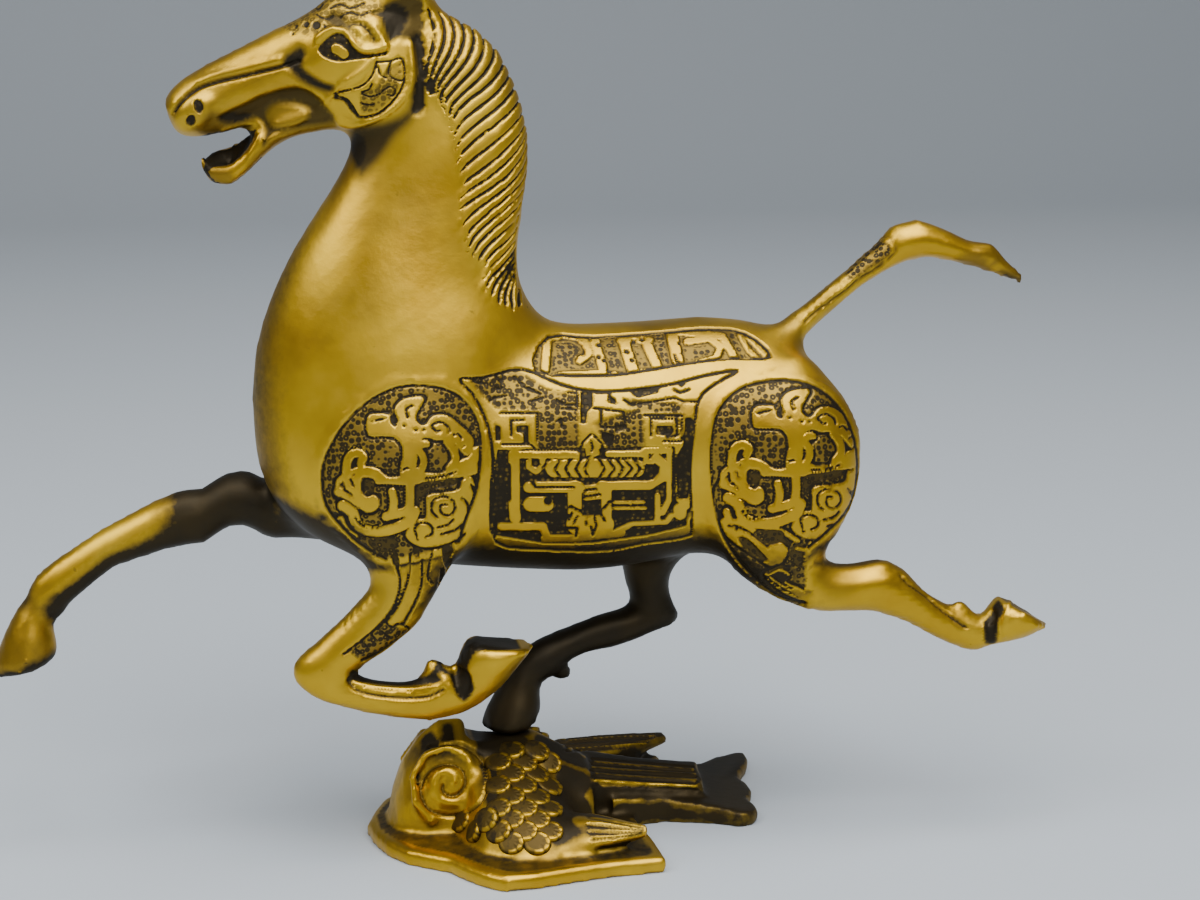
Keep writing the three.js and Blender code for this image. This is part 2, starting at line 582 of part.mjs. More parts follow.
// A mantle wing: a rounded sheet that falls from the swell to the plate.
function mantleRings(side) {
  const halfCount = 7;
  return MANTLE.map(({ y, lead, trail, top }) => {
    const upper = Array.from({ length: halfCount + 1 }, (_, k) => {
      const share = k / halfCount;
      const x = lead + (trail - lead) * share;
      const arch = Math.sin(Math.PI * share ** 0.72) ** 0.6;
      return new THREE.Vector3(x, side * y, MANTLE_FOOT + (top - MANTLE_FOOT) * Math.max(0, arch));
    });
    const lower = [trail, lead].map((x) => new THREE.Vector3(x, side * y, MANTLE_FOOT / 2));
    return [...upper, ...lower];
  });
}

// A kite-shaped scale on the skin; it lies along `down` and stands proud at its tip.
function scaleSolid(place, normal, down) {
  const across = down.clone().cross(normal).normalize();
  const outline = [[-0.5, 0], [0, -0.5], [0.5, 0], [0, 0.55]];
  const layer = (lift, tilt) => outline.map(([u, v]) => place.clone()
    .addScaledVector(across, u * SCALE_WIDTH)
    .addScaledVector(down, v * SCALE_LENGTH)
    .addScaledVector(normal, lift + tilt * v));
  return solidFrom(tubeOfRings([layer(-SCALE_ROOT, 0), layer(0.35, 1.3)]));
}

function downOnto(mesh, x, y, side) {
  const ray = new THREE.Raycaster();
  const from = new THREE.Vector3(0, side * 0.75, 1).normalize();
  const hit = (px, py) => {
    const start = new THREE.Vector3(px, py, 0).addScaledVector(from, 90);
    ray.set(start, from.clone().negate());
    return ray.intersectObject(mesh)[0].point;
  };
  const step = 2.5;
  const here = hit(x, y);
  const alongX = hit(x + step, y).sub(hit(x - step, y));
  const alongY = hit(x, y + step).sub(hit(x, y - step));
  return { here, normal: alongX.cross(alongY).normalize() };
}

function scales(base) {
  const mesh = new THREE.Mesh(geometryFrom(base), new THREE.MeshBasicMaterial());
  mesh.material.side = THREE.DoubleSide;
  const solids = [];
  for (const [side, columns] of [[-1, SCALE_COLUMNS.near], [1, SCALE_COLUMNS.far]]) {
    for (let row = 0; row < SCALE_ROWS.count; row += 1) {
      for (let column = 0; column < columns; column += 1) {
        const x = SCALE_ROWS.first + SCALE_ROWS.step * row;
        const y = side * (SCALE_COLUMNS.first + SCALE_COLUMNS.step * (column + 0.5 * (row % 2)));
        const { here, normal } = downOnto(mesh, x, y, side);
        const down = new THREE.Vector3(0.7, side * 0.7, -0.2).projectOnPlane(normal).normalize();
        if (here.z > PLATE_THICKNESS + 1.5) solids.push(scaleSolid(here, normal, down));
      }
    }
  }
  return solids;
}

// The curl of the cloud: a raised cord that rolls up on the side of the swell.
function curl(side) {
  const count = side < 0 ? 17 : 11;
  const section = 5;
  const turns = 1.75;
  const eye = 1.2;
  const points = Array.from({ length: count }, (_, i) => {
    const share = i / (count - 1);
    const angle = turns * 2 * Math.PI * share - 0.4;
    const reach = eye + (CURL_RADIUS - eye) * share;
    const x = CURL_MIDDLE.x + reach * Math.cos(angle);
    const z = CURL_MIDDLE.z + reach * Math.sin(angle);
    // The side of the swell narrows towards its top and its front.
    const high = Math.sqrt(Math.max(0, 1 - ((z - SWELL_FOOT.height) / 32) ** 2));
    const front = Math.min(1, Math.sqrt(Math.max(0, (x + 51.5) / 7)));
    return new THREE.Vector3(x, side * (15.4 * high * front - 0.2), z);
  });
  const rings = points.map((point, i) => {
    const along = points[Math.min(count - 1, i + 1)].clone().sub(points[Math.max(0, i - 1)]).normalize();
    const out = new THREE.Vector3(-0.2, side, 0.45).normalize();
    const across = along.clone().cross(out).normalize();
    const up = across.clone().cross(along).normalize();
    return Array.from({ length: section }, (_, k) => {
      const angle = (k / section) * 2 * Math.PI;
      return point.clone()
        .addScaledVector(across, CURL_CORD * Math.cos(angle))
        .addScaledVector(up, CURL_CORD * Math.sin(angle));
    });
  });
  return solidFrom(tubeOfRings(rings));
}

function plinthSolid() {
  const base = join([
    plateSolid(),
    fanSolid(),
    swellSolid(),
    ...[-1, 1].map((side) => solidFrom(tubeOfRings(mantleRings(side)))),
  ]);
  const ridges = (k) => (k % 2 ? STREAMER_RIDGE.valley : STREAMER_RIDGE.crest);
  const streamers = [NEAR_STREAMER, MIDDLE_STREAMER, FAR_STREAMER]
    .map((rows) => solidFrom(new Casting(rows.map(flatRib)).geometry(10, ridges)));
  // The underside and the rest for the hoof are cut flat.
  const below = new THREE.BoxGeometry(300, 300, 60);
  below.translate(0, 0, -30);
  const above = new THREE.BoxGeometry(26, 22, 30);
  above.translate(-15.25, 6, HOOF_REST_HEIGHT - GAP + 15);
  return join([base, ...streamers, ...scales(base), ...[-1, 1].map(curl)])
    .subtract(solidFromGeometry(below))
    .subtract(solidFromGeometry(above));
}

const brass = new THREE.MeshStandardMaterial({ color: 0xb08a35, roughness: 0.35, metalness: 1 });
const darkBrass = new THREE.MeshStandardMaterial({ color: 0x8a6a2a, roughness: 0.45, metalness: 1 });

const group = new THREE.Group();
const head = headSolid();
const horse = new THREE.Mesh(
  geometryFrom(carved(bodySolid().add(head.solid).subtract(head.trough))),
  brass,
);
horse.name = 'horse';
group.add(horse);

const plinth = new THREE.Mesh(geometryFrom(plinthSolid()), darkBrass);
plinth.name = 'plinth';
group.add(plinth);

export default group;
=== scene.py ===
import math
from typing import NamedTuple

import bmesh
import bpy
import numpy as np
from bpy.props import FloatProperty, FloatVectorProperty, PointerProperty
from mathutils import Matrix, Vector
from mathutils.bvhtree import BVHTree
from mathutils.kdtree import KDTree


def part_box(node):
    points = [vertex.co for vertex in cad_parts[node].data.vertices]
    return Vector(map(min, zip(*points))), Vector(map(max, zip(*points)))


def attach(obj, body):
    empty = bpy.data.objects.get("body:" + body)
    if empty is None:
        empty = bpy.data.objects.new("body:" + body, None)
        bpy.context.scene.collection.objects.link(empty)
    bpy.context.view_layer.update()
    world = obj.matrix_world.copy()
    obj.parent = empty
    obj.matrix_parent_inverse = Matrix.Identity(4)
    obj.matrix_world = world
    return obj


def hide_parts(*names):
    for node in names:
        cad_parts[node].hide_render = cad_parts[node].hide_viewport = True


bl_info = {
    "name": "Running Horse Ornament",
    "version": (1, 0, 0),
    "blender": (4, 5, 0),
    "location": "View3D > Sidebar > Horse",
    "description": "Dresses a cast brass running horse and its cloud plinth",
    "category": "Object",
}

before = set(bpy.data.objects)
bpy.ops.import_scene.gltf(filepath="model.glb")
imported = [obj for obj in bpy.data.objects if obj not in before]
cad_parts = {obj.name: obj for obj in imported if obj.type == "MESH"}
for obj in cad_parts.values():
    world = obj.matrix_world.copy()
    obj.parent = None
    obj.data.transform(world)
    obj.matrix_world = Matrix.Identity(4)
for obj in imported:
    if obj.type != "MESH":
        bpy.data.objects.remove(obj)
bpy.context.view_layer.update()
MM = 0.001

# Lengths below are in millimetres unless the line says otherwise.
# The camera stands in front of the near side, a little towards the head, and looks down.
VIEW_DISTANCE = 700.0
VIEW_HEIGHT = 262.0
VIEW_AIM = 11.5  # the x that it is turned to on the middle plane of the horse
VIEW_ASIDE = math.radians(-10)
VIEW_PITCH = math.radians(12.1)
FILM_WIDTH = 36.0
LENS = 75.2

# The carving is laid out as seen from this point, next to the camera.
VIEWED_FROM = np.array((-110.0, -689.4, 262.0))
OVER = [0, 2]  # x and z, the axes of an upright plane


class Grid(NamedTuple):
    """Square cells on an upright plane: columns run back from the front of the horse and rows run down.

    plane is the plane's y, corner is the place (x, z) of cell 0, and across and down are one step each
    way. Where mirrored is set, the far side of the horse mirrors the near one.
    """

    plane: float
    corner: tuple
    across: tuple
    down: tuple
    mirrored: bool = False

    def place(self, column, row):
        """The place (x, z) of a cell on the plane."""
        return np.array(self.corner) + column * np.array(self.across) + row * np.array(self.down)

    def size(self):
        """The length of one step across."""
        return math.hypot(*self.across)


GRIDS = {
    "shoulder": Grid(-30, (-69.78, 140.67), (0.2702, -0.0104), (-0.0046, -0.2762), True),
    "haunch": Grid(-30, (35.31, 139.62), (0.2857, -0.0111), (0.0045, -0.2846), True),
    "leg": Grid(-26, (-70.53, 95.68), (0.2749, -0.0133), (-0.0048, -0.2844), True),
    "saddle": Grid(-28, (-35.16, 146.29), (0.4792, -0.0183), (-0.0003, -0.4835), True),
    "strip": Grid(-14, (-13.74, 155.34), (0.4884, -0.0146), (0.0017, -0.4865), True),
    "head": Grid(-10, (-111.14, 239.96), (0.2664, -0.0030), (-0.0064, -0.2653), True),
    "mane": Grid(-8, (-71.89, 240.21), (0.2736, -0.0044), (-0.0037, -0.2716)),
    "forefoot": Grid(-24, (-76.20, 90.26), (0.2776, -0.0151), (-0.0048, -0.2892)),
    "hindfoot": Grid(-22, (82.18, 88.11), (0.3005, -0.0147), (0.0094, -0.2993)),
    "tail": Grid(0, (56.81, 194.33), (0.2965, -0.0070), (0.0065, -0.2886)),
    "base": Grid(-25, (-70.12, 50.51), (0.2863, -0.0181), (-0.0013, -0.2983)),
}

# The borders of the panels on those grids.
BORDERS = {
    "shoulder": (
        25, 45, 45, 25, 70, 11, 95, 6, 125, 10, 145, 22, 158, 45, 161, 75, 157, 110, 148, 136, 140, 163, 66,
        180, 40, 165, 20, 145, 6, 125, 2, 100, 5, 80, 15, 60,
    ),
    "haunch": (
        7, 68, 15, 38, 39, 16, 79, 9, 114, 18, 139, 43, 151, 78, 150, 118, 139, 143, 119, 163, 99, 179, 99,
        233, 69, 224, 39, 198, 19, 168, 10, 138, 6, 98,
    ),
    "leg": (
        75, 25, 80, 40, 75, 65, 60, 85, 40, 102, 23, 115, 42, 122, 65, 110, 95, 88, 115, 67, 125, 45, 130, 20,
        132, 4, 74, 4,
    ),
    "saddle": (
        7, 15, 20, 14, 43, 9, 66, 18, 89, 21.5, 124, 18, 148, 12, 167, 9, 154, 17, 145, 26, 142, 44, 140, 67,
        141, 99, 138, 106, 112, 110, 89, 114, 53, 113, 27, 109, 24, 84, 25.5, 61, 22.6, 41, 15, 24,
    ),
    "strip": (
        10, 35, 17, 15.7, 43, 15.7, 78, 13.4, 107, 11, 131, 13.4, 146, 27, 121, 28, 96, 31, 67, 36, 44, 38,
    ),
}

# Where a limb grows out of a panel, its border is cut as open lines.
BORDER_LINES = {
    "shoulder": ((*BORDERS["shoulder"][22:], *BORDERS["shoulder"][:22]),),
    "haunch": ((*BORDERS["haunch"][22:], *BORDERS["haunch"][:20], 103, 176),),
    "leg": ((73, 20, *BORDERS["leg"][2:12]), (42, 121, *BORDERS["leg"][14:24])),
}

# Motifs, cell by cell: raised figures, bars left standing (half width first), hollows, cut lines, dots
# (column, row, radius) and punched grounds.
MEDALLION = {
    "figure": (
        (48, 37, 60, 34, 68, 35, 71, 44, 76, 47, 78, 40, 75, 30, 80, 22, 90, 18, 104, 18, 101, 26, 96, 36, 99,
         44, 106, 45, 111, 38, 118, 35, 128, 36, 138, 43, 148, 52, 154, 60, 153, 67, 147, 76, 141, 70, 135,
         64, 126, 60, 116, 60, 110, 58, 103, 58, 97, 63, 94, 69, 84, 68, 80, 62, 74, 57, 62, 56, 48, 55),
        (83, 64, 94, 66, 97, 76, 96, 88, 90, 98, 82, 98, 80, 90, 83, 76),
        (34, 88, 50, 87, 60, 91, 67, 97, 80, 97, 92, 94, 98, 90, 108, 93, 124, 93, 134, 88, 142, 80, 149, 77,
         153, 70, 159, 66, 166, 68, 166, 75, 159, 80, 158, 86, 157, 94, 122, 100, 92, 105, 68, 104, 56, 104,
         54, 99, 46, 97, 38, 98),
        (16, 100, 26, 92, 36, 90, 42, 95, 40, 104, 42, 114, 48, 118, 53, 115, 58, 120, 57, 129, 48, 133, 38,
         128, 26, 120, 14, 115, 15, 106),
        (108, 116, 126, 113, 140, 110, 143, 100, 148, 100, 151, 110, 157, 120, 157, 134, 151, 148, 138, 160,
         120, 167, 102, 168, 90, 162, 86, 155, 91, 146, 99, 140, 106, 139, 107, 128),
    ),
    "bars": (
        (3.4, 100, 92, 104, 84, 103, 76, 99, 70, 101, 64, 107, 64), (3.8, 128, 62, 134, 70, 136, 80, 130, 89),
        (4.0, 26, 92, 27, 82, 31, 75, 38, 73, 43, 77, 41, 82), (4.2, 90, 100, 90, 124, 85, 132, 66, 137),
        (3.8, 72, 112, 74, 122, 72, 132),
        (5.2, 22, 126, 32, 133, 36, 144, 46, 151, 62, 152, 78, 148, 90, 141, 95, 132),
        (3.6, 150, 100, 154, 112, 158, 122), (3.4, 20, 140, 24, 150, 34, 158),
    ),
    "hollows": (
        (44, 100, 52, 101, 55, 107, 50, 114, 44, 108), (48, 160, 66, 158, 78, 161, 76, 170, 62, 174, 50, 168),
        (98, 105, 118, 101, 136, 98, 136, 106, 112, 110, 104, 116, 98, 128),
    ),
    "lines": (
        (52, 42, 58, 40, 64, 39), (92, 26, 86, 30, 88, 38), (118, 52, 112, 46, 120, 42, 128, 46, 130, 52),
        (142, 58, 138, 54, 134, 55), (66, 92, 76, 92, 88, 88), (106, 98, 122, 97, 136, 92),
        (118, 138, 112, 131, 114, 121, 123, 117, 133, 120, 136, 129, 130, 136, 122, 133, 121, 126, 127, 125),
        (142, 117, 149, 126, 147, 141, 136, 151, 122, 155),
        (97, 156, 95, 148, 102, 143, 111, 146, 113, 154, 106, 158), (36, 139, 42, 146, 56, 148, 72, 144),
        (23, 101, 24, 110, 32, 116), (30, 99, 33, 106), (152, 104, 156, 114, 160, 122),
        (134, 140, 128, 146, 118, 148),
    ),
    "rings": (
        (84, 46, 1.2), (96, 50, 1.4), (104, 50, 1.2), (20, 106, 1.4), (28, 112, 1.2), (34, 94, 1.2),
        (120, 51, 1.2), (144, 66, 1.2), (98, 160, 1.2), (112, 124, 1.2),
    ),
}
HAUNCH_FOOT = {
    "figure": (
        (14, 148, 30, 148, 46, 156, 62, 168, 76, 172, 82, 180, 76, 192, 64, 196, 50, 186, 34, 176, 20, 164),
        (58, 204, 72, 198, 84, 204, 80, 212, 98, 220, 98, 230, 84, 226, 68, 216),
    ),
    "bars": (
        (2.4, 60, 156, 76, 160, 92, 170), (2.2, 92, 178, 104, 180, 112, 176),
    ),
    "hollows": (
        (32, 166, 42, 168, 54, 180, 62, 190, 50, 188, 38, 178), (54, 160, 74, 164, 86, 174, 76, 172, 62, 166),
        (84, 178, 98, 174, 100, 196, 88, 194), (60, 198, 76, 194, 90, 198, 74, 198, 62, 204),
    ),
    "lines": (
        (22, 154, 34, 156, 50, 166, 62, 176), (66, 206, 74, 212, 86, 218),
        (46, 194, 60, 208, 80, 221, 96, 230),
    ),
    "rings": (
        (30, 158, 1.2),
    ),
}
FORELEG = {
    "hollows": (
        (62, 2, 74, 8, 80, 26, 70, 22, 58, 12), (122, 10, 132, 4, 134, 22, 126, 28), (92, 10, 100, 8, 98, 20),
    ),
    "lines": (
        (78, 20, 76, 48, 70, 66, 62, 82), (90, 14, 88, 40, 78, 66, 66, 82),
        (102, 20, 102, 44, 96, 62, 84, 84), (112, 14, 108, 36, 112, 44), (122, 30, 118, 56, 106, 74, 92, 92),
        (66, 82, 72, 88, 80, 84, 92, 90), (28, 112, 46, 96, 62, 86), (40, 102, 48, 108), (52, 96, 58, 102),
        (60, 90, 70, 98), (36, 110, 42, 114),
    ),
    "punched": (
        (30, 112, 66, 84, 92, 92, 60, 116, 44, 122),
    ),
}
SADDLE = {
    "bars": (
        (2.0, 74, 58, 38, 58), (3.2, 37.5, 58, 37.5, 90, 38, 95),
        (1.6, 54, 60, 54, 65, 50, 68, 46, 65, 46, 62), (5.2, 61, 66, 108, 66), (3.2, 46, 77, 75, 77),
        (4, 72.5, 77, 72.5, 98), (2.6, 88, 76, 116, 76, 124, 71, 125, 64, 120, 60), (3, 91, 77, 91, 96),
        (1.8, 113, 55.5, 128, 55.5, 128, 84, 124, 92), (1.5, 114, 57, 114, 62, 118, 62),
        (1.7, 92, 57.5, 111, 57.5), (4, 82, 50, 83, 57), (0.9, 79, 77, 86, 76), (0.9, 79, 80.5, 87, 79.5),
        (0.9, 79, 84, 87, 83), (4.3, 47, 87, 56, 87), (5.5, 73, 99, 90, 99),
        (2.2, 55, 107, 72, 107, 100, 104), (2.3, 30, 100, 54, 100, 56, 106), (2.2, 105, 82.5, 105.1, 82.5),
        (0.9, 96, 86, 113, 86), (0.9, 96, 89.5, 114, 89.5), (1.6, 121, 82, 121, 96),
        (1.6, 97, 103, 106, 99, 126, 98, 129, 94), (3.6, 134, 90, 134.1, 93),
    ),
    "hollows": (
        (39, 41, 46, 41, 46, 52, 43, 52, 43, 46, 39, 45), (76, 21, 83, 21, 83, 30, 80, 33, 79, 40, 76, 40),
        (93, 28, 97, 29, 96, 25, 93, 24), (96, 41, 103, 40, 103, 43, 96, 45),
        (88, 44, 96, 46, 95, 52, 92, 54, 88, 48), (104, 21, 112, 18, 122, 18, 121, 22, 109, 25),
        (131, 16, 137, 16, 135, 19), (120, 41, 130, 41, 130, 46, 125, 47, 120, 46),
        (137, 36, 141, 36, 141, 60, 139, 84, 133, 84, 131, 60, 136, 52), (27, 40, 30, 42, 30, 50, 27, 50),
        (28, 55, 131, 53, 132, 85, 139, 90, 138, 100, 118, 105, 82, 110, 55, 110, 26, 105, 24, 90, 26, 70),
    ),
    "lines": (
        (30, 34, 51, 34, 51, 50), (36, 47, 36, 38, 43, 38), (31, 52, 47, 52, 50, 55), (15, 16, 22, 18),
        (16, 13, 20, 15, 23, 13), (27, 20, 31, 20), (24, 27, 28, 25, 33, 24), (38, 13, 42, 17),
        (44, 19, 53, 23), (48, 27, 55, 25), (28, 13, 31, 17, 32, 13), (62, 26, 66, 29, 74, 29),
        (69, 22, 74, 22, 74, 30), (65, 31, 74, 32), (62, 39, 65, 37, 65, 42), (85, 22, 93, 22, 92, 27),
        (84, 31, 101, 33, 102, 40), (88, 32, 88, 42, 96, 42),
        (101, 26, 106, 29, 118, 27, 130, 25, 136, 27, 145, 27, 150, 20), (130, 20, 134, 22, 139, 20),
        (113, 35, 135, 35, 135, 50, 124, 50), (117, 47, 117, 37, 132, 37, 132, 47, 126, 48),
        (82, 46, 77, 51, 75, 56, 77, 60, 81, 59), (83, 46, 88, 51, 90, 56, 88, 60, 84, 59),
        (82, 50, 83, 54, 82, 56), (35, 64, 35, 84), (58, 77, 72, 77), (47, 73, 50, 77, 59, 77),
        (91, 73, 118, 72, 121, 68), (71, 92, 69, 96), (74, 94, 72, 98), (79, 95, 79, 99), (84, 95, 85, 99),
        (88, 93, 90, 97), (68, 101, 74, 101, 73, 106), (82, 100, 83, 105, 85, 100),
        (66, 90, 70, 88, 80, 93, 88, 91, 93, 85), (80, 62, 78, 66, 80, 70), (87, 61, 90, 66, 87, 71),
        (130, 57, 130, 84), (106, 101, 126, 100),
        *((column, 61, column - 3, 66, column, 71) for column in (57, 64, 70, 76)),
        *((column, 61, column + 4, 66, column, 71) for column in (92, 97, 102, 107)),
    ),
    "rings": (
        (57, 85, 2.2), (105, 82.5, 2.2),
    ),
    "punched": (
        (12, 14, 38, 8, 56, 20, 74, 24, 75, 55, 51, 56, 51, 33, 28, 32, 20, 24),
        (84, 40, 112, 30, 113, 54, 92, 55), (103, 26, 136, 28, 136, 34, 112, 34, 104, 30),
    ),
}
STRIP = {
    "bars": (
        (2.4, 17, 14, 15, 34), (2.3, 20, 15, 30, 14, 38, 18, 40, 25, 35, 29), (2.4, 23, 38, 45, 37, 68, 39),
        (2.8, 68, 37, 80, 36, 100, 33, 114, 30), (2.6, 44, 18, 49, 36), (3.2, 60, 17, 66, 36),
        (2.8, 73, 18, 80, 33), (3.4, 88, 13, 92, 30), (2.1, 97, 18, 110, 16, 117, 21, 114, 28, 103, 31),
        (2.2, 92, 12, 118, 15, 126, 29), (1.6, 128, 14, 134, 24, 140, 29), (1.8, 58, 17, 76, 17),
    ),
    "hollows": (
        (14, 11, 36, 14, 82, 11, 127, 11, 144, 29, 126, 31, 90, 40, 68, 42, 40, 42, 18, 40, 4, 33, 8, 24),
    ),
    "lines": (
        (25, 17, 33, 18, 37, 23, 37, 26), (50, 19, 52, 22, 55, 20), (90, 26, 92, 31),
    ),
    "rings": (
        (46, 20, 1.2), (52, 35, 1.5), (58, 35, 1.5), (62, 24, 1.2), (46, 27, 1), (66, 18, 1), (71, 17, 1),
        (88, 32, 1.5), (95, 25, 1.2), (93, 19, 1), (65, 29, 1), (49, 29, 1),
    ),
}
CHEEK_CREASE = (25, 112, 31, 103, 45, 90, 62, 83, 88, 77, 110, 72, 131, 67, 148, 61)

# Soft forms also have a height in millimetres, a softness or half width in cells, and a darkness: painted
# shade where it is above zero, a painted highlight where it is below.
HEAD = {
    "bars": (
        (5.0, 186, 49, 190, 51, 194, 54),
    ),
    "hollows": (
        (184, 96, 198, 99, 208, 114, 212, 119, 202, 113, 194, 102),
        (40, 115, 45, 115, 46, 121, 42, 124, 37, 121), (45, 101, 51, 101, 54, 107, 51, 113, 46, 110),
        (168, 49, 174, 41, 182, 35, 190, 33, 197, 38, 203, 47, 212, 54, 226, 54, 238, 51, 236, 55, 218, 58,
         204, 60, 190, 62, 180, 60, 172, 56),
    ),
    "lines": (
        (227, 62, 241, 61, 253, 59, 255, 82, 245, 100, 229, 114, 210, 118, 204, 112, 198, 102, 184, 98),
        (184, 94, 200, 90, 212, 86, 222, 76, 227, 62), (241, 63, 239, 73, 245, 79, 253, 81),
        (228, 67, 231, 75, 237, 78), (222, 84, 219, 90, 212, 92),
        (212, 94, 220, 97, 229, 95, 235, 90, 241, 87, 246, 90, 244, 96, 238, 95),
        (211, 104, 220, 106, 226, 104), (150, 8, 160, 5, 168, 9, 172, 4), (180, 8, 190, 4, 200, 8, 214, 3),
        (140, 14, 146, 10, 153, 14), (166, 14, 174, 18, 182, 14), (190, 16, 200, 12, 210, 15, 220, 11),
    ),
    "rings": (
        (156, 24, 3), (166, 25, 4), (146, 26, 2), (175, 26, 2), (136, 22, 1.5), (143, 34, 1.5),
    ),
    "punched": (
        (130, 26, 140, 16, 150, 3, 170, -6, 215, -6, 236, 6, 222, 16, 200, 22, 178, 30, 160, 36, 144, 34),
        (210, 94, 226, 88, 238, 68, 252, 62, 252, 82, 243, 98, 228, 111, 212, 114),
    ),
    "soft": (
        (-0.9, 3.5, 1.0, 132, 60, 140, 52, 150, 46, 156, 54, 152, 66, 162, 76, 176, 84, 186, 86, 180, 94, 160,
         88, 144, 76), (-0.9, 3.0, 0.9, 174, 18, 184, 12, 194, 18, 204, 30, 208, 40, 198, 38, 186, 28),
        (0.0, 5.0, 0.6, 60, 110, 84, 118, 104, 122, 100, 134, 80, 136, 60, 134, 50, 128),
        (-1.4, 3.5, 0.9, 114, 96, 143, 89, 161, 94, 175, 107, 184, 118, 186, 124, 169, 128, 143, 132, 122,
         136, 114, 146, 110, 128, 106, 121, 84, 124, 70, 118, 98, 104),
        (1.0, 3.0, -0.55, 116, 116, 124, 107, 140, 104, 156, 108, 158, 118, 148, 127, 132, 129, 120, 125),
        (-1.1, 3.0, 1.0, 222, 12, 244, 6, 257, 14, 250, 32, 241, 43, 235, 31, 230, 18),
        (-0.5, 4.0, 0.9, 232, 4, 252, -4, 272, -2, 280, 16, 276, 34, 258, 40, 246, 36, 240, 18),
        (0.8, 6.0, 0.0, 26, 118, 32, 106, 44, 97, 60, 98, 62, 112, 52, 126, 38, 132, 28, 128),
        (0.0, 3.0, 0.5, 56, 162, 66, 160, 84, 176, 80, 188, 66, 186, 58, 176),
        (0.0, 4.0, 0.45, 96, 176, 112, 158, 140, 142, 170, 134, 192, 130, 190, 124, 160, 130, 130, 136, 112,
         146, 98, 160),
        (-0.9, 2.8, 1.0, 262, 40, 272, 36, 283, 42, 286, 62, 283, 92, 274, 112, 264, 112, 267, 88, 266, 64),
    ),
    "ridges": (
        (-1.0, 3.0, 1.1, *CHEEK_CREASE), (0.5, 3.5, -0.3, 48, 82, 66, 75, 90, 69, 112, 64, 132, 59),
        (1.2, 4.0, -0.6, 168, 39, 177, 32, 190, 29, 200, 36, 207, 47, 219, 50, 235, 47),
        (1.0, 3.2, -0.4, 222, 27, 229, 36, 236, 46), (-1.0, 3.4, 1.0, 201, 23, 212, 24, 219, 31, 225, 41),
        (0.9, 4.0, -0.4, 186, 121, 200, 126, 222, 121, 245, 108, 261, 86, 262, 60, 261, 44),
        (0.6, 4.0, -0.2, 176, 104, 186, 88, 206, 76, 216, 68, 224, 58),
        (0.5, 2.5, -0.4, 72, 130, 90, 125, 108, 122, 112, 131, 106, 143, 100, 155),
    ),
}

# Grooves of the mane, each from the crest to its tip. More lie evenly between them, as the first number
# says.
MANE_GUIDES = (
    (0, 128, 9, 134, 24, 135, 42, 130, 60, 126, 78, 129, 99),
    (4, 168, 21, 174, 40, 167, 61, 151, 81, 140, 97, 145, 117),
    (7, 199, 48, 203, 65, 190, 84, 168, 101, 154, 117, 152, 137),
    (10, 221, 82, 219, 101, 202, 120, 177, 139, 161, 154, 156, 165),
    (12, 227, 108, 222, 131, 203, 153, 183, 170, 167, 181, 161, 192),
    (14, 228, 135, 222, 156, 206, 178, 183, 194, 166, 205, 158, 212),
    (16, 228, 160, 223, 181, 208, 198, 185, 217, 168, 234, 165, 252),
    (18, 225, 185, 219, 206, 203, 222, 187, 236, 175, 250, 171, 262),
    (20, 220, 219, 213, 236, 202, 247, 193, 255, 187, 264, 186, 272),
    (22, 217, 248, 209, 260, 199, 272, 190, 281, 186, 288, 186, 294),
    (24, 217, 259, 213, 269, 207, 280, 201, 292, 199, 303, 203, 313),
    (26, 217, 274, 215, 282, 213, 291, 212, 299, 213, 308, 215, 318),
    (27, 218, 290, 218, 295, 219, 299, 219, 303, 220, 307, 220, 312),
)
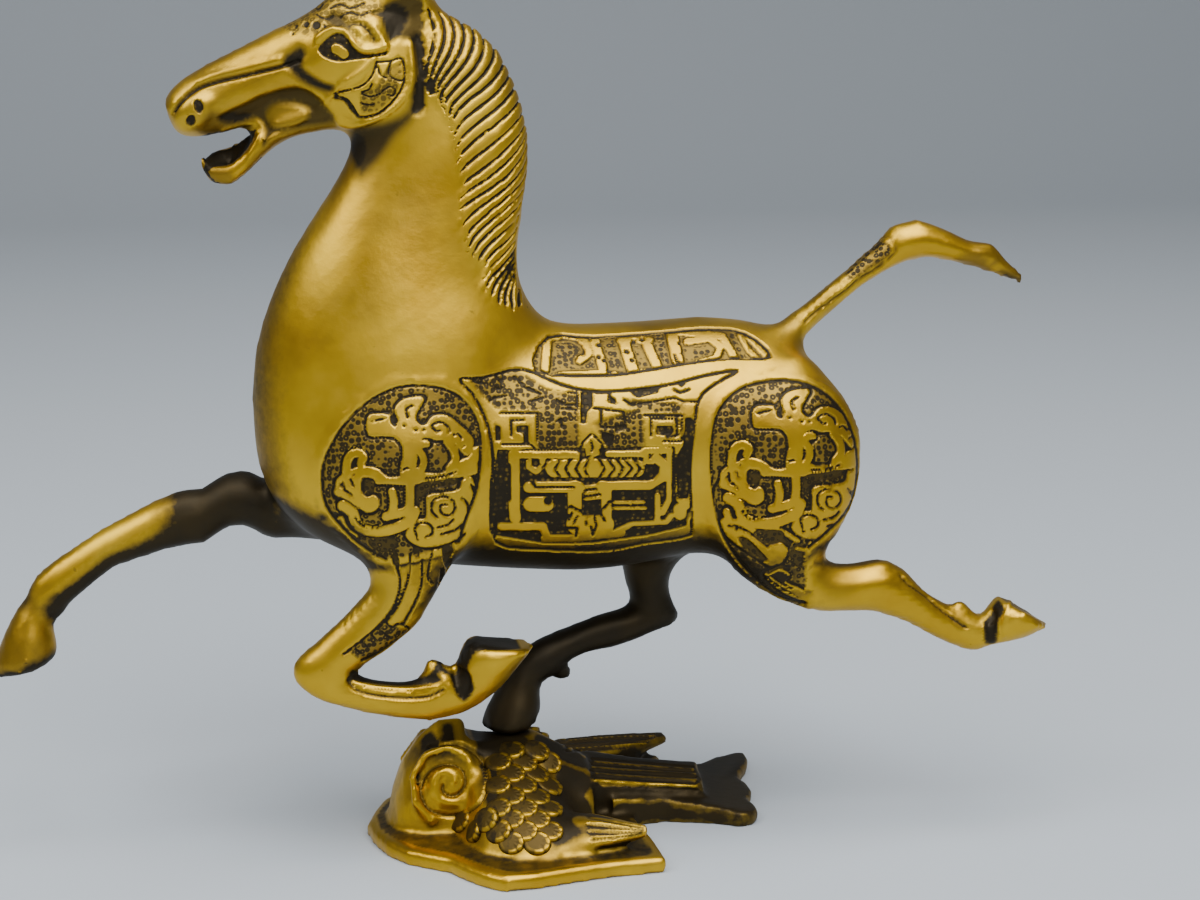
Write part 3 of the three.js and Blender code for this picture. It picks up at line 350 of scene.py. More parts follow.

# Forms of the feet and the tail with their painted shadows and highlights, and the painted shadow under the
# jaw.
LIMB_FORMS = {
    "forefoot": {
        "soft": (
            (0.0, 1.2, 1.0, 157, 100, 164, 85, 170, 79, 185, 89, 176, 93, 171, 100, 168, 108, 171, 119, 175,
             127, 171, 136, 164, 142, 157, 135, 153, 124, 155, 111),
            (-1.1, 2.0, 0.0, 154, 106, 167, 112, 171, 122, 168, 135, 162, 140, 155, 127),
            (-0.2, 1.2, 1.0, 166, 84, 170, 78, 179, 74, 201, 72, 223, 75, 236, 84, 216, 89, 186, 90),
            (0.0, 1.5, 1.0, 120, 120, 131, 112, 137, 101, 143, 100, 144, 107, 156, 115, 154, 123, 149, 116,
             139, 114, 131, 121),
            (-0.3, 1.5, 1.0, 49, 120, 53, 110, 77, 113, 105, 116, 139, 116, 138, 123, 108, 126, 77, 124, 56,
             121),
        ),
        "ridges": (
            (0.4, 2.0, -0.8, 58, 123, 77, 127, 108, 129, 138, 127),
            (-0.9, 2.4, 1.0, 49, 120, 58, 130, 80, 136, 117, 138, 133, 135, 143, 130),
        ),
    },
    "hindfoot": {
        "soft": (
            (0.0, 1.2, 1.0, 138, 60, 134, 64, 127, 77, 123, 83, 124, 92, 125, 103, 136, 103, 138, 92, 139, 81,
             145, 70, 140, 61), (-0.8, 2.0, 0.0, 131, 70, 137, 72, 135, 84, 133, 98, 128, 98, 127, 84),
            (-0.2, 1.2, 0.8, 139, 56, 152, 56, 172, 65, 185, 76, 189, 84, 172, 75, 155, 67),
            (0.0, 2.0, 0.85, -42, 20, -5, 22, 24, 16, 27, 21, -5, 28, -39, 27),
            (0.0, 6.0, 0.3, -46, 36, -20, 32, 0, 36, -6, 54, -30, 60),
            (0.0, 3.0, 0.4, 90, 74, 100, 76, 108, 86, 98, 90),
        ),
        "ridges": (
            (-0.9, 1.5, 1.0, 41, 35, 48, 43, 65, 55, 82, 70, 99, 83, 107, 88),
            (0.5, 2.5, -0.2, 150, 62, 145, 78, 144, 96),
        ),
    },
    "tail": {
        "soft": (
            (0.0, 3.0, 0.45, 196, 98, 214, 92, 226, 98, 232, 112, 222, 118, 206, 110),
            (0.0, 3.0, 0.8, 246, 108, 262, 118, 264, 126, 250, 124),
            (0.0, 6.0, 0.35, -10, 160, 20, 150, 40, 164, 44, 186, 20, 196, -10, 190),
        ),
        "ridges": (
            (-0.8, 1.8, 0.9, 46, 161, 61, 148, 83, 133, 103, 117, 122, 106),
            (-0.4, 1.5, 0.8, 116, 80, 126, 76, 133, 82, 135, 91, 130, 98, 118, 105),
            (-0.5, 1.8, 0.8, 238, 100, 242, 110, 250, 122),
        ),
        "punched": (
            (84, 112, 118, 80, 131, 84, 131, 94, 100, 116, 90, 120),
        ),
    },
    "head": {
        "soft": (
            (0.0, 8.0, 0.95, 198, 128, 232, 122, 258, 110, 262, 84, 272, 90, 266, 118, 248, 136, 236, 154,
             224, 168, 210, 180, 206, 164),
            (0.0, 4.0, 0.45, 203, 140, 214, 146, 210, 166, 188, 212, 172, 238, 164, 236, 180, 200),
        ),
    },
}

# Lines of the plinth: the groove of the curl, and the grooves and raised ribs of the streamers; the grooves
# are darkened and the ribs carry a painted highlight.
PLINTH_FORMS = {
    "ridges": (
        (-0.9, 2.0, 0.9, 115, 85, 114, 89, 116, 93, 122, 96, 129, 94, 135, 87, 136, 78, 131, 68, 119, 64, 106,
         67, 95, 78, 93, 94, 101, 109, 118, 116, 138, 112, 153, 98, 158, 76, 149, 56, 127, 44, 101, 47),
        (-0.5, 1.5, 0.9, 258, 117, 285, 122, 314, 127.8), (-0.5, 1.5, 0.9, 258, 124, 285, 127, 314, 130.4),
        (-0.5, 1.5, 0.9, 260, 132, 285, 133, 313, 132.6), (-0.5, 1.5, 0.9, 262, 140, 285, 138, 312, 134.6),
        (-0.5, 1.4, 0.8, 262, 59, 300, 62, 364, 67), (-0.5, 1.4, 0.8, 262, 64, 300, 67, 365, 71.5),
        (-0.5, 1.4, 0.8, 260, 70, 300, 73, 367, 77), (-0.5, 1.4, 0.8, 262, 76, 300, 79, 367, 82),
        (-0.5, 1.5, 0.9, 268, 84, 300, 86, 369, 90.5), (-0.5, 1.3, 0.8, 231, 43, 280, 39, 323, 37),
        (-0.5, 1.3, 0.8, 235, 47, 280, 44, 318, 41), (-0.5, 1.3, 0.8, 230, 39, 280, 35.5, 325, 34),
        (-0.5, 1.3, 0.8, 236, 51, 280, 48, 312, 45), (0.3, 1.2, -0.5, 264, 61.5, 300, 64.5, 364, 69),
        (0.3, 1.2, -0.5, 262, 67, 300, 70, 366, 74), (0.3, 1.2, -0.5, 264, 73, 300, 76, 367, 79.5),
        (0.3, 1.2, -0.6, 266, 80, 300, 82.5, 368, 86), (0.3, 1.2, -0.5, 238, 41, 280, 37.3, 324, 35.5),
        (0.3, 1.2, -0.5, 238, 49, 280, 46, 315, 43),
    ),
}

# The scales: cells of the first, steps between them, and the outline of the area that they cover.
SCALE_START = (118, 62)
SCALE_STEP = (12.6, 23)
SCALE_AREA = (
    112, 112, 130, 118, 152, 106, 163, 84, 160, 50, 205, 40, 224, 62, 244, 100, 246, 142, 178, 144, 140, 138,
)

# On the far side: the border of each panel, and the scrolls in it.
ROUND_POINTS = 18
ROUND_MIDDLE = (83, 98)
ROUND_HALF_SIZES = (62, 72)
ROUND = tuple(
    middle + half * turn(2 * math.pi * k / ROUND_POINTS)
    for k in range(ROUND_POINTS)
    for middle, half, turn in zip(ROUND_MIDDLE, ROUND_HALF_SIZES, (math.cos, math.sin))
)
FAR_SCROLLS = (
    (40, 96, 46, 76, 66, 66, 86, 74, 90, 92, 78, 104, 64, 98, 66, 86, 74, 86),
    (90, 92, 104, 74, 122, 74, 130, 90, 122, 102, 112, 96), (78, 104, 92, 122, 112, 126, 122, 112),
    (64, 98, 50, 116, 56, 136, 76, 144, 92, 136, 92, 122), (66, 66, 74, 48, 92, 42, 104, 52),
)
FAR_PANELS = {
    "shoulder": (BORDERS["shoulder"], *FAR_SCROLLS),
    "haunch": (ROUND, *FAR_SCROLLS),
    "saddle": (
        BORDERS["saddle"], (38, 48, 64, 48, 64, 66, 48, 66, 48, 58, 56, 58),
        (118, 48, 92, 48, 92, 66, 108, 66, 108, 58, 100, 58), (38, 96, 38, 76, 118, 76, 118, 96),
        (50, 96, 50, 86, 70, 86, 70, 96), (86, 96, 86, 86, 106, 86, 106, 96),
    ),
}


class CarvedPanel(NamedTuple):
    """A carved panel of the near side: its motifs, the darkness of its hollows and the y that it ends at."""

    motifs: tuple
    rounded: bool
    darkness: float
    ends_at: float
    rimmed: bool = False


NEAR_PANELS = {
    "shoulder": CarvedPanel((MEDALLION,), True, 0.8, -14, True),
    "haunch": CarvedPanel((MEDALLION, HAUNCH_FOOT), True, 0.8, -14, True),
    "leg": CarvedPanel((FORELEG,), True, 0.9, -19),
    "saddle": CarvedPanel((SADDLE,), False, 1.0, -12),
    "strip": CarvedPanel((STRIP,), False, 0.35, -2),
}
REACH = 8.0  # how far from a drawn line a distance is still told, in cells
LINE_HALF_WIDTH = 0.4
HEAD_LINE_HALF_WIDTH = 0.33
MANE_HALF_WIDTH = 0.53
GROOVE_DEPTH = 0.45
HOLLOW_DEPTH = 0.55
GROUND_DEPTH = 0.2
WALL = 0.13  # half the width of a cut's wall
WALL_SNAP = 0.1  # a point this near to an edge of the wall counts as on it
RIM_HEIGHT = 0.4
RIM_AWAY = 2.0  # how far the crest of a rim lies from the panel's border
RIM_SPREAD = 1.1

# The longest edges of the skin, by place.
PANEL_EDGE = 0.8
MANE_EDGE = 0.85
FOOT_EDGE = 0.8
TAIL_EDGE = 1.1
FAR_EDGE = 1.3
FACE_LINE_EDGE = 0.6
FAR_FACE_LINE_EDGE = 0.9
FACE_EDGE = 1.1
MUZZLE_EDGE = 1.8
FAR_FACE_EXTRA = 1.0
RIB_EDGE = 0.6
NO_LIMIT = 99.0
BESIDE_LINE = 3.5  # how far the fine skin reaches beside a drawn line, in cells
MUZZLE_COLUMNS = 60  # the columns of the head's grid that the muzzle takes up

# Regions of the horse and its limbs.
HEAD_REGION = {"x": (-999, -38), "z": (186, 999)}
MANE_REGION = {"x": (-46, 4), "y": (-99, 2), "z": (144, 242)}
FORE_FOOT_REGION = {"x": (-66, -10), "y": (-99, -8), "z": (-1, 80)}
HIND_FOOT_REGION = {"x": (92, 999), "y": (-99, -8), "z": (-1, 92)}
TAIL_ROOT_REGION = {"x": (66, 96), "z": (132, 182)}
MOUTH_REGION = {"x": (-98, -82), "y": (-3, 99), "z": (188, 204.5)}
# Where the forms of each grid apply, and how far the skin has to face the camera there.
LIMB_REGIONS = {
    "forefoot": ({"x": (-999, -15), "y": (-99, -8), "z": (-1, 92)}, -0.3),
    "hindfoot": ({"x": (60, 999), "y": (-99, -8), "z": (-1, 92)}, -0.3),
    "tail": ({"x": (62, 999), "z": (130, 999)}, 0.0),
    "head": ({"x": (-999, -30), "z": (150, 999)}, -2.0),
}
THICKEST = 60.0  # greater thicknesses count as this one
HORSE_SHELTER = 26.0  # how far round each place of the horse is looked for what shelters it
PLINTH_SHELTER = 22.0
SHELTER_RAYS = 12
SPREAD_GAIN = 0.29  # what one round of spreading adds to the square of the blur, in squares of the spacing
PLINTH_BLUR = 0.8
SCALE_AREA_BLUR = 2.6
SIZE_SLACK = 3.0  # how far a dressed form may stand off the box of its solid


class Skin:
    """A triangle mesh in millimetres, with one number per corner point for each mark."""

    def __init__(self, points, faces):
        self.points = points
        self.faces = faces
        self.marks = {}
        self.link()

    def link(self):
        """Works out the edges and which edges each face has."""
        pairs = np.sort(self.faces[:, [0, 1, 1, 2, 2, 0]].reshape(-1, 2), axis=1)
        keys = pairs[:, 0].astype(np.int64) * len(self.points) + pairs[:, 1]
        _, first, inverse = np.unique(keys, return_index=True, return_inverse=True)
        self.edges = pairs[first]
        self.face_edges = inverse.reshape(-1, 3)
        self.degree = np.bincount(self.edges.ravel(), minlength=len(self.points))

    def lengths(self):
        ends = self.points[self.edges]
        return np.linalg.norm(ends[:, 0] - ends[:, 1], axis=1)

    def neighbour_mean(self, values):
        if values.ndim > 1:
            return np.stack([self.neighbour_mean(column) for column in values.T], axis=1)
        a, b = self.edges.T
        total = np.bincount(a, values[b], len(self.points)) + np.bincount(b, values[a], len(self.points))
        return total / self.degree

    def spread(self, values, rounds, strength=1.0):
        """Evens values out over the skin."""
        for _ in range(rounds):
            values = values + ((self.neighbour_mean(values) - values).T * (0.5 * strength)).T
        return values

    def normals(self):
        corners = self.points[self.faces]
        crosses = np.cross(corners[:, 1] - corners[:, 0], corners[:, 2] - corners[:, 0])
        normals = np.zeros_like(self.points)
        for axis in range(3):
            for corner in range(3):
                normals[:, axis] += np.bincount(self.faces[:, corner], crosses[:, axis], len(self.points))
        return normals / np.maximum(np.linalg.norm(normals, axis=1, keepdims=True), 1e-12)

    def turned_to(self, eye):
        """How far each place faces a viewer: 1 straight on, below 0 turned away."""
        way = eye - self.points
        return (self.normals() * way).sum(axis=1) / np.linalg.norm(way, axis=1)

    def push_out(self, height):
        self.points = self.points + self.normals() * height[:, None]

    def tree(self):
        return BVHTree.FromPolygons(self.points.tolist(), self.faces.tolist())

    def split(self, cut, share):
        """Puts a point on each marked edge, at a share of the way from its first end."""
        place = np.full(len(self.edges), -1)
        place[cut] = len(self.points) + np.arange(cut.sum())
        a, b = self.edges[cut].T
        blend = share[cut]
        self.marks = {
            name: np.concatenate([values, values[a] * (1 - blend) + values[b] * blend])
            for name, values in self.marks.items()
        }
        new = self.points[a] * (1 - blend)[:, None] + self.points[b] * blend[:, None]
        self.points = np.concatenate([self.points, new])
        mids = place[self.face_edges]
        count = (mids >= 0).sum(axis=1)
        pieces = [self.faces[count == 0]]
        cases = ((1, lambda m: m[:, 0] >= 0), (2, lambda m: m[:, 2] < 0), (3, lambda m: m[:, 0] >= 0))
        for wanted, turned in cases:
            corners, middles = self.faces[count == wanted], mids[count == wanted]
            for _ in range(2):
                turn = ~turned(middles)
                corners[turn] = np.roll(corners[turn], -1, axis=1)
                middles[turn] = np.roll(middles[turn], -1, axis=1)
            a, b, c = corners.T
            p, q, r = middles.T
            if wanted == 1:
                pieces += [np.stack(t, 1) for t in ((a, p, c), (p, b, c))]
            elif wanted == 2:
                pieces.append(np.stack((p, b, q), 1))
                across = np.linalg.norm(self.points[a] - self.points[q], axis=1)
                other = np.linalg.norm(self.points[p] - self.points[c], axis=1)
                near = across <= other
                pieces += [np.stack(t, 1)[near] for t in ((a, p, q), (a, q, c))]
                pieces += [np.stack(t, 1)[~near] for t in ((a, p, c), (p, q, c))]
            else:
                pieces += [np.stack(t, 1) for t in ((a, p, r), (p, b, q), (r, q, c), (p, q, r))]
        self.faces = np.concatenate(pieces)
        self.link()

    def refine(self, longest, rounds=4):
        """Halves edges until none is longer than longest(skin), given for each point, allows."""
        for _ in range(rounds):
            cut = self.lengths() > 1.35 * longest(self)[self.edges].min(axis=1)
            if not cut.any():
                break
            self.split(cut, np.full(len(self.edges), 0.5))

    def cut_along(self, mark, level, snap):
        """Adds points where a mark has this level, so that a crisp border can follow them."""
        values = self.marks[mark]
        values[np.abs(values - level) < snap] = level
        a, b = values[self.edges].T - level
        cut = a * b < 0
        self.split(cut, np.where(cut, a / np.where(cut, a - b, 1), 0.5))

    def join(self, mesh):
        """Adds a mesh, and the marks that it has."""
        points, faces = read_mesh(mesh)
        for name, values in self.marks.items():
            more = np.zeros(len(points))
            if name in mesh.attributes:
                mesh.attributes[name].data.foreach_get("value", more)
            self.marks[name] = np.concatenate((values, more))
        self.faces = np.concatenate((self.faces, faces + len(self.points)))
        self.points = np.concatenate((self.points, points))

    def to_object(self, name):
        mesh = bpy.data.meshes.new(name)
        mesh.vertices.add(len(self.points))
        mesh.vertices.foreach_set("co", (self.points * MM).ravel())
        mesh.loops.add(self.faces.size)
        mesh.loops.foreach_set("vertex_index", self.faces.ravel())
        mesh.polygons.add(len(self.faces))
        mesh.polygons.foreach_set("loop_start", np.arange(len(self.faces)) * 3)
        mesh.polygons.foreach_set("use_smooth", np.ones(len(self.faces), bool))
        mesh.update(calc_edges=True)
        for mark, values in self.marks.items():
            mesh.attributes.new(mark, "FLOAT", "POINT").data.foreach_set("value", values.astype(np.float32))
        return put_in_scene(name, mesh)


def put_in_scene(name, data):
    piece = bpy.data.objects.new(name, data)
    bpy.context.scene.collection.objects.link(piece)
    return piece


def read_mesh(mesh):
    """The corner points of a mesh in millimetres, and its triangles."""
    points = np.empty(len(mesh.vertices) * 3)
    mesh.vertices.foreach_get("co", points)
    mesh.calc_loop_triangles()
    faces = np.empty(len(mesh.loop_triangles) * 3, np.int64)
    mesh.loop_triangles.foreach_get("vertices", faces)
    return points.reshape(-1, 3) / MM, faces.reshape(-1, 3)


def skin_of(node, voxel):
    """An even triangle skin over a copy of a CAD node."""
    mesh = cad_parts[node].data.copy()
    merged = bmesh.new()
    merged.from_mesh(mesh)
    bmesh.ops.remove_doubles(merged, verts=merged.verts, dist=1e-6)
    merged.to_mesh(mesh)
    merged.free()
    source = put_in_scene("source", mesh)
    remesh = source.modifiers.new("Even", "REMESH")
    remesh.mode = "VOXEL"
    remesh.voxel_size = voxel
    even = bpy.data.meshes.new_from_object(source.evaluated_get(bpy.context.evaluated_depsgraph_get()))
    bpy.data.objects.remove(source)
    bpy.data.meshes.remove(mesh)
    skin = Skin(*read_mesh(even))
    bpy.data.meshes.remove(even)
    return skin


def keep_size(skin, node):
    """Stops the work where a dressed form has left the box of its solid."""
    low, high = (np.array(corner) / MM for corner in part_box(node))
    off = max(np.abs(skin.points.min(axis=0) - low).max(), np.abs(skin.points.max(axis=0) - high).max())
    if off > SIZE_SLACK:
        raise RuntimeError(f"{node} stands {off:.1f} mm off its solid")


def ramp(values, start, full):
    """0 at the start, 1 where it is full, and a smooth step between; the start may be the higher one."""
    share = np.clip((values - start) / (full - start), 0, 1)
    return share * share * (3 - 2 * share)


def fade(points, **ways):
    """1 in a region and 0 out of it; for each axis, the places where it starts and where it is full."""
    share = 1.0
    for axis, (start, full) in ways.items():
        share = share * ramp(points[:, "xyz".index(axis)], start, full)
    return share


def within(points, region):
    """Which points lie between the limits that a region has for some of its axes."""
    inside = np.ones(len(points), bool)
    for axis, (low, high) in region.items():
        values = points[:, "xyz".index(axis)]
        inside &= (values > low) & (values < high)
    return inside


def blur_rounds(widest, voxel):
    """How many rounds of spreading blur a skin of this spacing as wide as this."""
    return int(widest ** 2 / (SPREAD_GAIN * (voxel / MM) ** 2))


def round_off(skin, settings):
    """Smooths the cast forms, the thicker the more, and gives back the fullness that this takes."""
    tree = skin.tree()
    thickness = np.full(len(skin.points), THICKEST)
    for i, (point, normal) in enumerate(zip(skin.points, skin.normals())):
        hit = tree.ray_cast(Vector(point - 0.05 * normal), Vector(-normal))[3]
        if hit is not None:
            thickness[i] = hit
    thickness = skin.spread(np.minimum(thickness, THICKEST), 6)
    widest = settings.smoothing / MM
    blur = np.minimum(settings.softness * thickness, widest)
    rounds = blur_rounds(widest, settings.voxel)
    strength = (blur / widest) ** 2
    before = skin.points.copy()
    skin.points = skin.spread(skin.points, rounds, strength)
    lost = ((before - skin.points) * skin.normals()).sum(axis=1)
    skin.push_out(skin.spread(lost, 2 * rounds, strength))


def shelter(skin, distance):
    """How closed in each place is, from 0 in the open to 1."""
    tree = skin.tree()
    normals = skin.normals()
    side = np.cross(normals, (0.3, 0.9, 0.2))
    side /= np.linalg.norm(side, axis=1, keepdims=True)
    across = np.cross(normals, side)
    golden = math.pi * (3 - math.sqrt(5))
    covered = np.zeros(len(skin.points))
    for k in range(SHELTER_RAYS):
        up = math.sqrt(1 - (k + 0.5) / SHELTER_RAYS)
        out = math.sqrt(1 - up * up)
        ray = normals * up + out * (side * math.cos(golden * k) + across * math.sin(golden * k))
        for i, (point, way) in enumerate(zip(skin.points + 0.3 * normals, ray)):
            hit = tree.ray_cast(Vector(point), Vector(way), distance)[3]
            if hit is not None:
                covered[i] += 1 - 0.6 * hit / distance
    return skin.spread(covered / SHELTER_RAYS, 3)


def cells(points, name):
    """Column and row of each point on a grid, as seen from VIEWED_FROM."""
    grid = GRIDS[name]
    near_y = -np.abs(points[:, 1]) if grid.mirrored else points[:, 1]
    reach = (grid.plane - VIEWED_FROM[1]) / (near_y - VIEWED_FROM[1])
    seen = VIEWED_FROM[OVER] + (points[:, OVER] - VIEWED_FROM[OVER]) * reach[:, None]
    return (seen - grid.corner) @ np.linalg.inv(np.array((grid.across, grid.down)).T).T


def bend(ends, closed):
    """Puts two more points on each stretch, so that the line runs smoothly through its points."""
    count = len(ends)
    if closed:
        a, b, c, d = (ends[(np.arange(count) + k) % count] for k in (-1, 0, 1, 2))
    else:
        padded = np.vstack((ends[:1], ends, ends[-1:]))
        a, b, c, d = (padded[k:k + count - 1] for k in range(4))
    steps = [
        b + 0.5 * t * (c - a + t * (2 * a - 5 * b + 4 * c - d + t * (3 * (b - c) + d - a)))
        for t in (0, 1 / 3, 2 / 3)
    ]
    smooth = np.stack(steps, 1).reshape(-1, 2)
    return smooth if closed else np.vstack((smooth, ends[-1:]))


def outline_distance(at, outline, closed=False, rounded=False):
    """Distance in cells from each place to an outline, at most REACH; below zero inside a closed one."""
    ends = np.asarray(outline, float).reshape(-1, 2)
    if rounded and len(ends) > 2:
        ends = bend(ends, closed)
    if closed:
        ends = np.vstack((ends, ends[:1]))
    result = np.full(len(at), REACH)
    chosen = np.flatnonzero(((at > ends.min(0) - REACH) & (at < ends.max(0) + REACH)).all(1))
    here = at[chosen]
    nearest = np.full(len(chosen), np.inf)
    inside = np.zeros(len(chosen), bool)
    for a, b in zip(ends[:-1], ends[1:]):
        along = b - a
        share = np.clip((here - a) @ along / max(along @ along, 1e-9), 0, 1)
        off = here - a - share[:, None] * along
        nearest = np.minimum(nearest, np.hypot(off[:, 0], off[:, 1]))
        if closed and a[1] != b[1]:
            crossed = (a[1] > here[:, 1]) != (b[1] > here[:, 1])
            inside ^= crossed & (here[:, 0] < a[0] + (here[:, 1] - a[1]) * along[0] / along[1])
    result[chosen] = np.where(inside, -nearest, np.minimum(nearest, REACH))
    return result


def nearest_line(at, lines, rounded=True):
    return np.minimum.reduce([outline_distance(at, line, False, rounded) for line in lines])


class Carving:
    """What is cut into one grid: signed distances in cells, below zero in the cut."""

    def __init__(self, skin, name):
        self.at = cells(skin.points, name)
        self.size = GRIDS[name].size()
        self.groove, self.hollow, self.figure = np.full((3, len(self.at)), REACH)
        self.has_figure = False
        self.punched = np.zeros(len(self.at))

    def motif(self, motif, half_width, rounded):
        """Adds the shapes of a motif; its bars stand in its hollows."""
        for line in motif["lines"]:
            away = outline_distance(self.at, line, False, rounded)
            self.groove = np.minimum(self.groove, away - half_width)
        for column, row, radius in motif.get("rings", ()):
            dot = np.hypot(self.at[:, 0] - column, self.at[:, 1] - row) - radius - 0.3 * half_width
            self.groove = np.minimum(self.groove, dot)
        bar = np.full(len(self.at), REACH)
        for half, *line in motif.get("bars", ()):
            away = outline_distance(self.at, line, False, rounded)
            bar = np.minimum(bar, np.where(away < REACH, away - half, REACH))
        for outline in motif["hollows"]:
            inside = outline_distance(self.at, outline, True, rounded)
            self.hollow = np.minimum(self.hollow, np.maximum(inside, -bar))
        for outline in motif.get("punched", ()):
            self.punched = np.maximum(self.punched, punched_inside(self.at, outline))
        if "figure" in motif:
            self.has_figure = True
            shapes = [outline_distance(self.at, outline, True, True) for outline in motif["figure"]]
            self.figure = np.minimum.reduce([self.figure, bar, *shapes])

    def outline_figure(self, half_width):
        """Cuts a groove round the raised figure and punches the ground beside it."""
        if self.has_figure:
            inner = self.figure < -half_width
            self.groove = np.where(inner, self.groove, np.abs(self.figure - half_width) - half_width)
            self.punched = np.maximum(self.punched, ramp(self.figure, 0.8 * half_width, 1.6 * half_width))

    def inside(self, name):
        """Keeps the motifs inside the panel and cuts a groove along its border."""
        edge = outline_distance(self.at, BORDERS[name], True, True)
        self.groove = np.where(edge < 0, self.groove, REACH)
        self.hollow = np.where(edge < 0, self.hollow, REACH)
        self.punched = np.where(edge < 0, self.punched, 0)
        border = nearest_line(self.at, BORDER_LINES[name]) if name in BORDER_LINES else np.abs(edge)
        self.groove = np.minimum(self.groove, border - 1.1 * LINE_HALF_WIDTH / self.size)
        return edge

    def cuts(self):
        """Distance in millimetres to the nearest groove or hollow."""
        return np.minimum(self.groove, self.hollow) * self.size


def punched_inside(at, outline):
    return ramp(-outline_distance(at, outline, True), -1.5, 1.5)


def panel_zone(skin, name, margin):
    """Where a panel lies on the skin of the near side."""
    at = cells(skin.points, name)
    near = (skin.points[:, 1] < NEAR_PANELS[name].ends_at) & (skin.marks["facing"] > 0.02)
    zone = np.zeros(len(at), bool)
    zone[near] = outline_distance(at[near], BORDERS[name], True, True) < margin
    return zone


def far_zone(skin):
    return (skin.points[:, 1] > 12) & (skin.marks["far"] > 0.1)


def head_zone(skin, near_y):
    """The near side of the head as far as near_y, and its far side."""
    y = skin.points[:, 1]
    near = (y < near_y) & (skin.marks["facing"] > -0.2)
    return within(skin.points, HEAD_REGION) & (near | (y > 2) & (skin.marks["far"] > 0.05))


def spacing(skin):
    """How fine the skin is to be at each point."""
    longest = np.full(len(skin.points), NO_LIMIT)
    head = head_zone(skin, 4)
    at = cells(skin.points[head], "head")
    drawn = [outline_distance(at, outline, True, True) for outline in HEAD["hollows"]]
    drawn.append(nearest_line(at, (*HEAD["lines"], CHEEK_CREASE)))
    near_side = skin.points[head, 1] < 4
    finest = np.where(near_side, FACE_LINE_EDGE, FAR_FACE_LINE_EDGE)
    plain = np.where(at[:, 0] > MUZZLE_COLUMNS, FACE_EDGE, MUZZLE_EDGE) + FAR_FACE_EXTRA * ~near_side
    longest[head] = np.where(np.minimum.reduce(drawn) < BESIDE_LINE, finest, plain)
    longest[skin.marks["mane"] > 0.2] = MANE_EDGE
    seen = skin.marks["facing"] > 0
    foot = within(skin.points, FORE_FOOT_REGION) | within(skin.points, HIND_FOOT_REGION)
    longest[foot & seen] = FOOT_EDGE
    longest[within(skin.points, TAIL_ROOT_REGION) & seen] = TAIL_EDGE
    far = far_zone(skin)
    for name, (border, *lines) in FAR_PANELS.items():
        at = cells(skin.points[far], name)
        away = np.minimum(np.abs(outline_distance(at, border, True, True)), nearest_line(at, lines))
        near_line = np.zeros(len(far), bool)
        near_line[far] = away < BESIDE_LINE
        longest[near_line] = FAR_EDGE
    for name in NEAR_PANELS:
        longest[panel_zone(skin, name, 2)] = PANEL_EDGE
    return longest


def at_shares(points, shares):
    """Places along a line of points, for shares of its length; below 0 the line goes on straight."""
    place = shares * (len(points) - 1)
    k = np.clip(place.astype(int), 0, len(points) - 2)
    return points[k] + (points[k + 1] - points[k]) * (place - k)[:, None]


def mark_mane(skin):
    """Marks the mane with the number of the nearest lock, the share of its length and the locks' spacing."""
    numbers = np.array([guide[0] for guide in MANE_GUIDES], float)
    guides = np.array([guide[1:] for guide in MANE_GUIDES], float).reshape(len(numbers), -1, 2)
    number_step = 0.1
    widest_gap = 8
    between = np.arange(numbers[0], numbers[-1] + 0.01, number_step)
    shares = np.linspace(-0.06, 1, 50)
    drawn = np.array([at_shares(bend(guide, False), shares) for guide in guides])
    grid = np.array([
        [np.interp(between, numbers, row) for row in drawn[:, :, axis].T] for axis in (0, 1)
    ]).transpose(2, 1, 0)
    step = np.linalg.norm(np.gradient(grid, axis=0), axis=2) / number_step
    tree = KDTree(len(between) * len(shares))
    for i, (column, row) in enumerate(grid.reshape(-1, 2)):
        tree.insert((column, row, 0), i)
    tree.balance()
    at = cells(skin.points, "mane")
    found = np.zeros((len(at), 5))
    for i in np.flatnonzero(within(skin.points, MANE_REGION) & (skin.marks["facing"] > -0.4)):
        near = tree.find_n((at[i, 0], at[i, 1], 0), 4)
        apart = near[0][2]
        if apart < widest_gap:
            weight = np.array([1 / (item[2] + 0.05) for item in near])
            index = np.array([item[1] for item in near])
            values = (between[index // len(shares)], shares[index % len(shares)], step.reshape(-1)[index])
            means = ((weight @ value) / weight.sum() for value in values)
            found[i] = (*means, apart, 1 - apart / widest_gap)
    known = found[:, 4] > 0
    for _ in range(4):
        total = skin.neighbour_mean(np.where(known[:, None], found, 0.0))
        part = skin.neighbour_mean(known.astype(float))
        grow = ~known & (part > 0)
        found[grow, :4] = total[grow, :4] / part[grow, None]
        known |= grow
    skin.marks.update(zip(("lock", "share", "gap", "apart", "mane"), found.T))


def mane_cut(skin):
    """Distance in millimetres to the grooves between the locks, and the roundness of the locks."""
    lock, share, gap, apart, mane = (skin.marks[name] for name in ("lock", "share", "gap", "apart", "mane"))
    size = GRIDS["mane"].size()
    from_groove = np.maximum(np.abs(lock - np.round(lock)) * gap, apart - 1) * size
    ends = np.clip(np.minimum((share + 0.03) / 0.15, (1.0 - share) / 0.22), 0, 1)
    half = MANE_HALF_WIDTH * ends ** 0.7
    from_crown = 1 - np.minimum(from_groove / (0.5 * gap * size + 1e-6), 1)
    crown = np.sqrt(np.clip(1 - from_crown ** 2, 0, 1))
    field = np.where((mane > 0.2) & (half > 0.2), from_groove - half, REACH)
    return field, ramp(mane, 0.3, 0.7) * (0.4 * crown + 0.15) * ramp(ends, 0, 1)


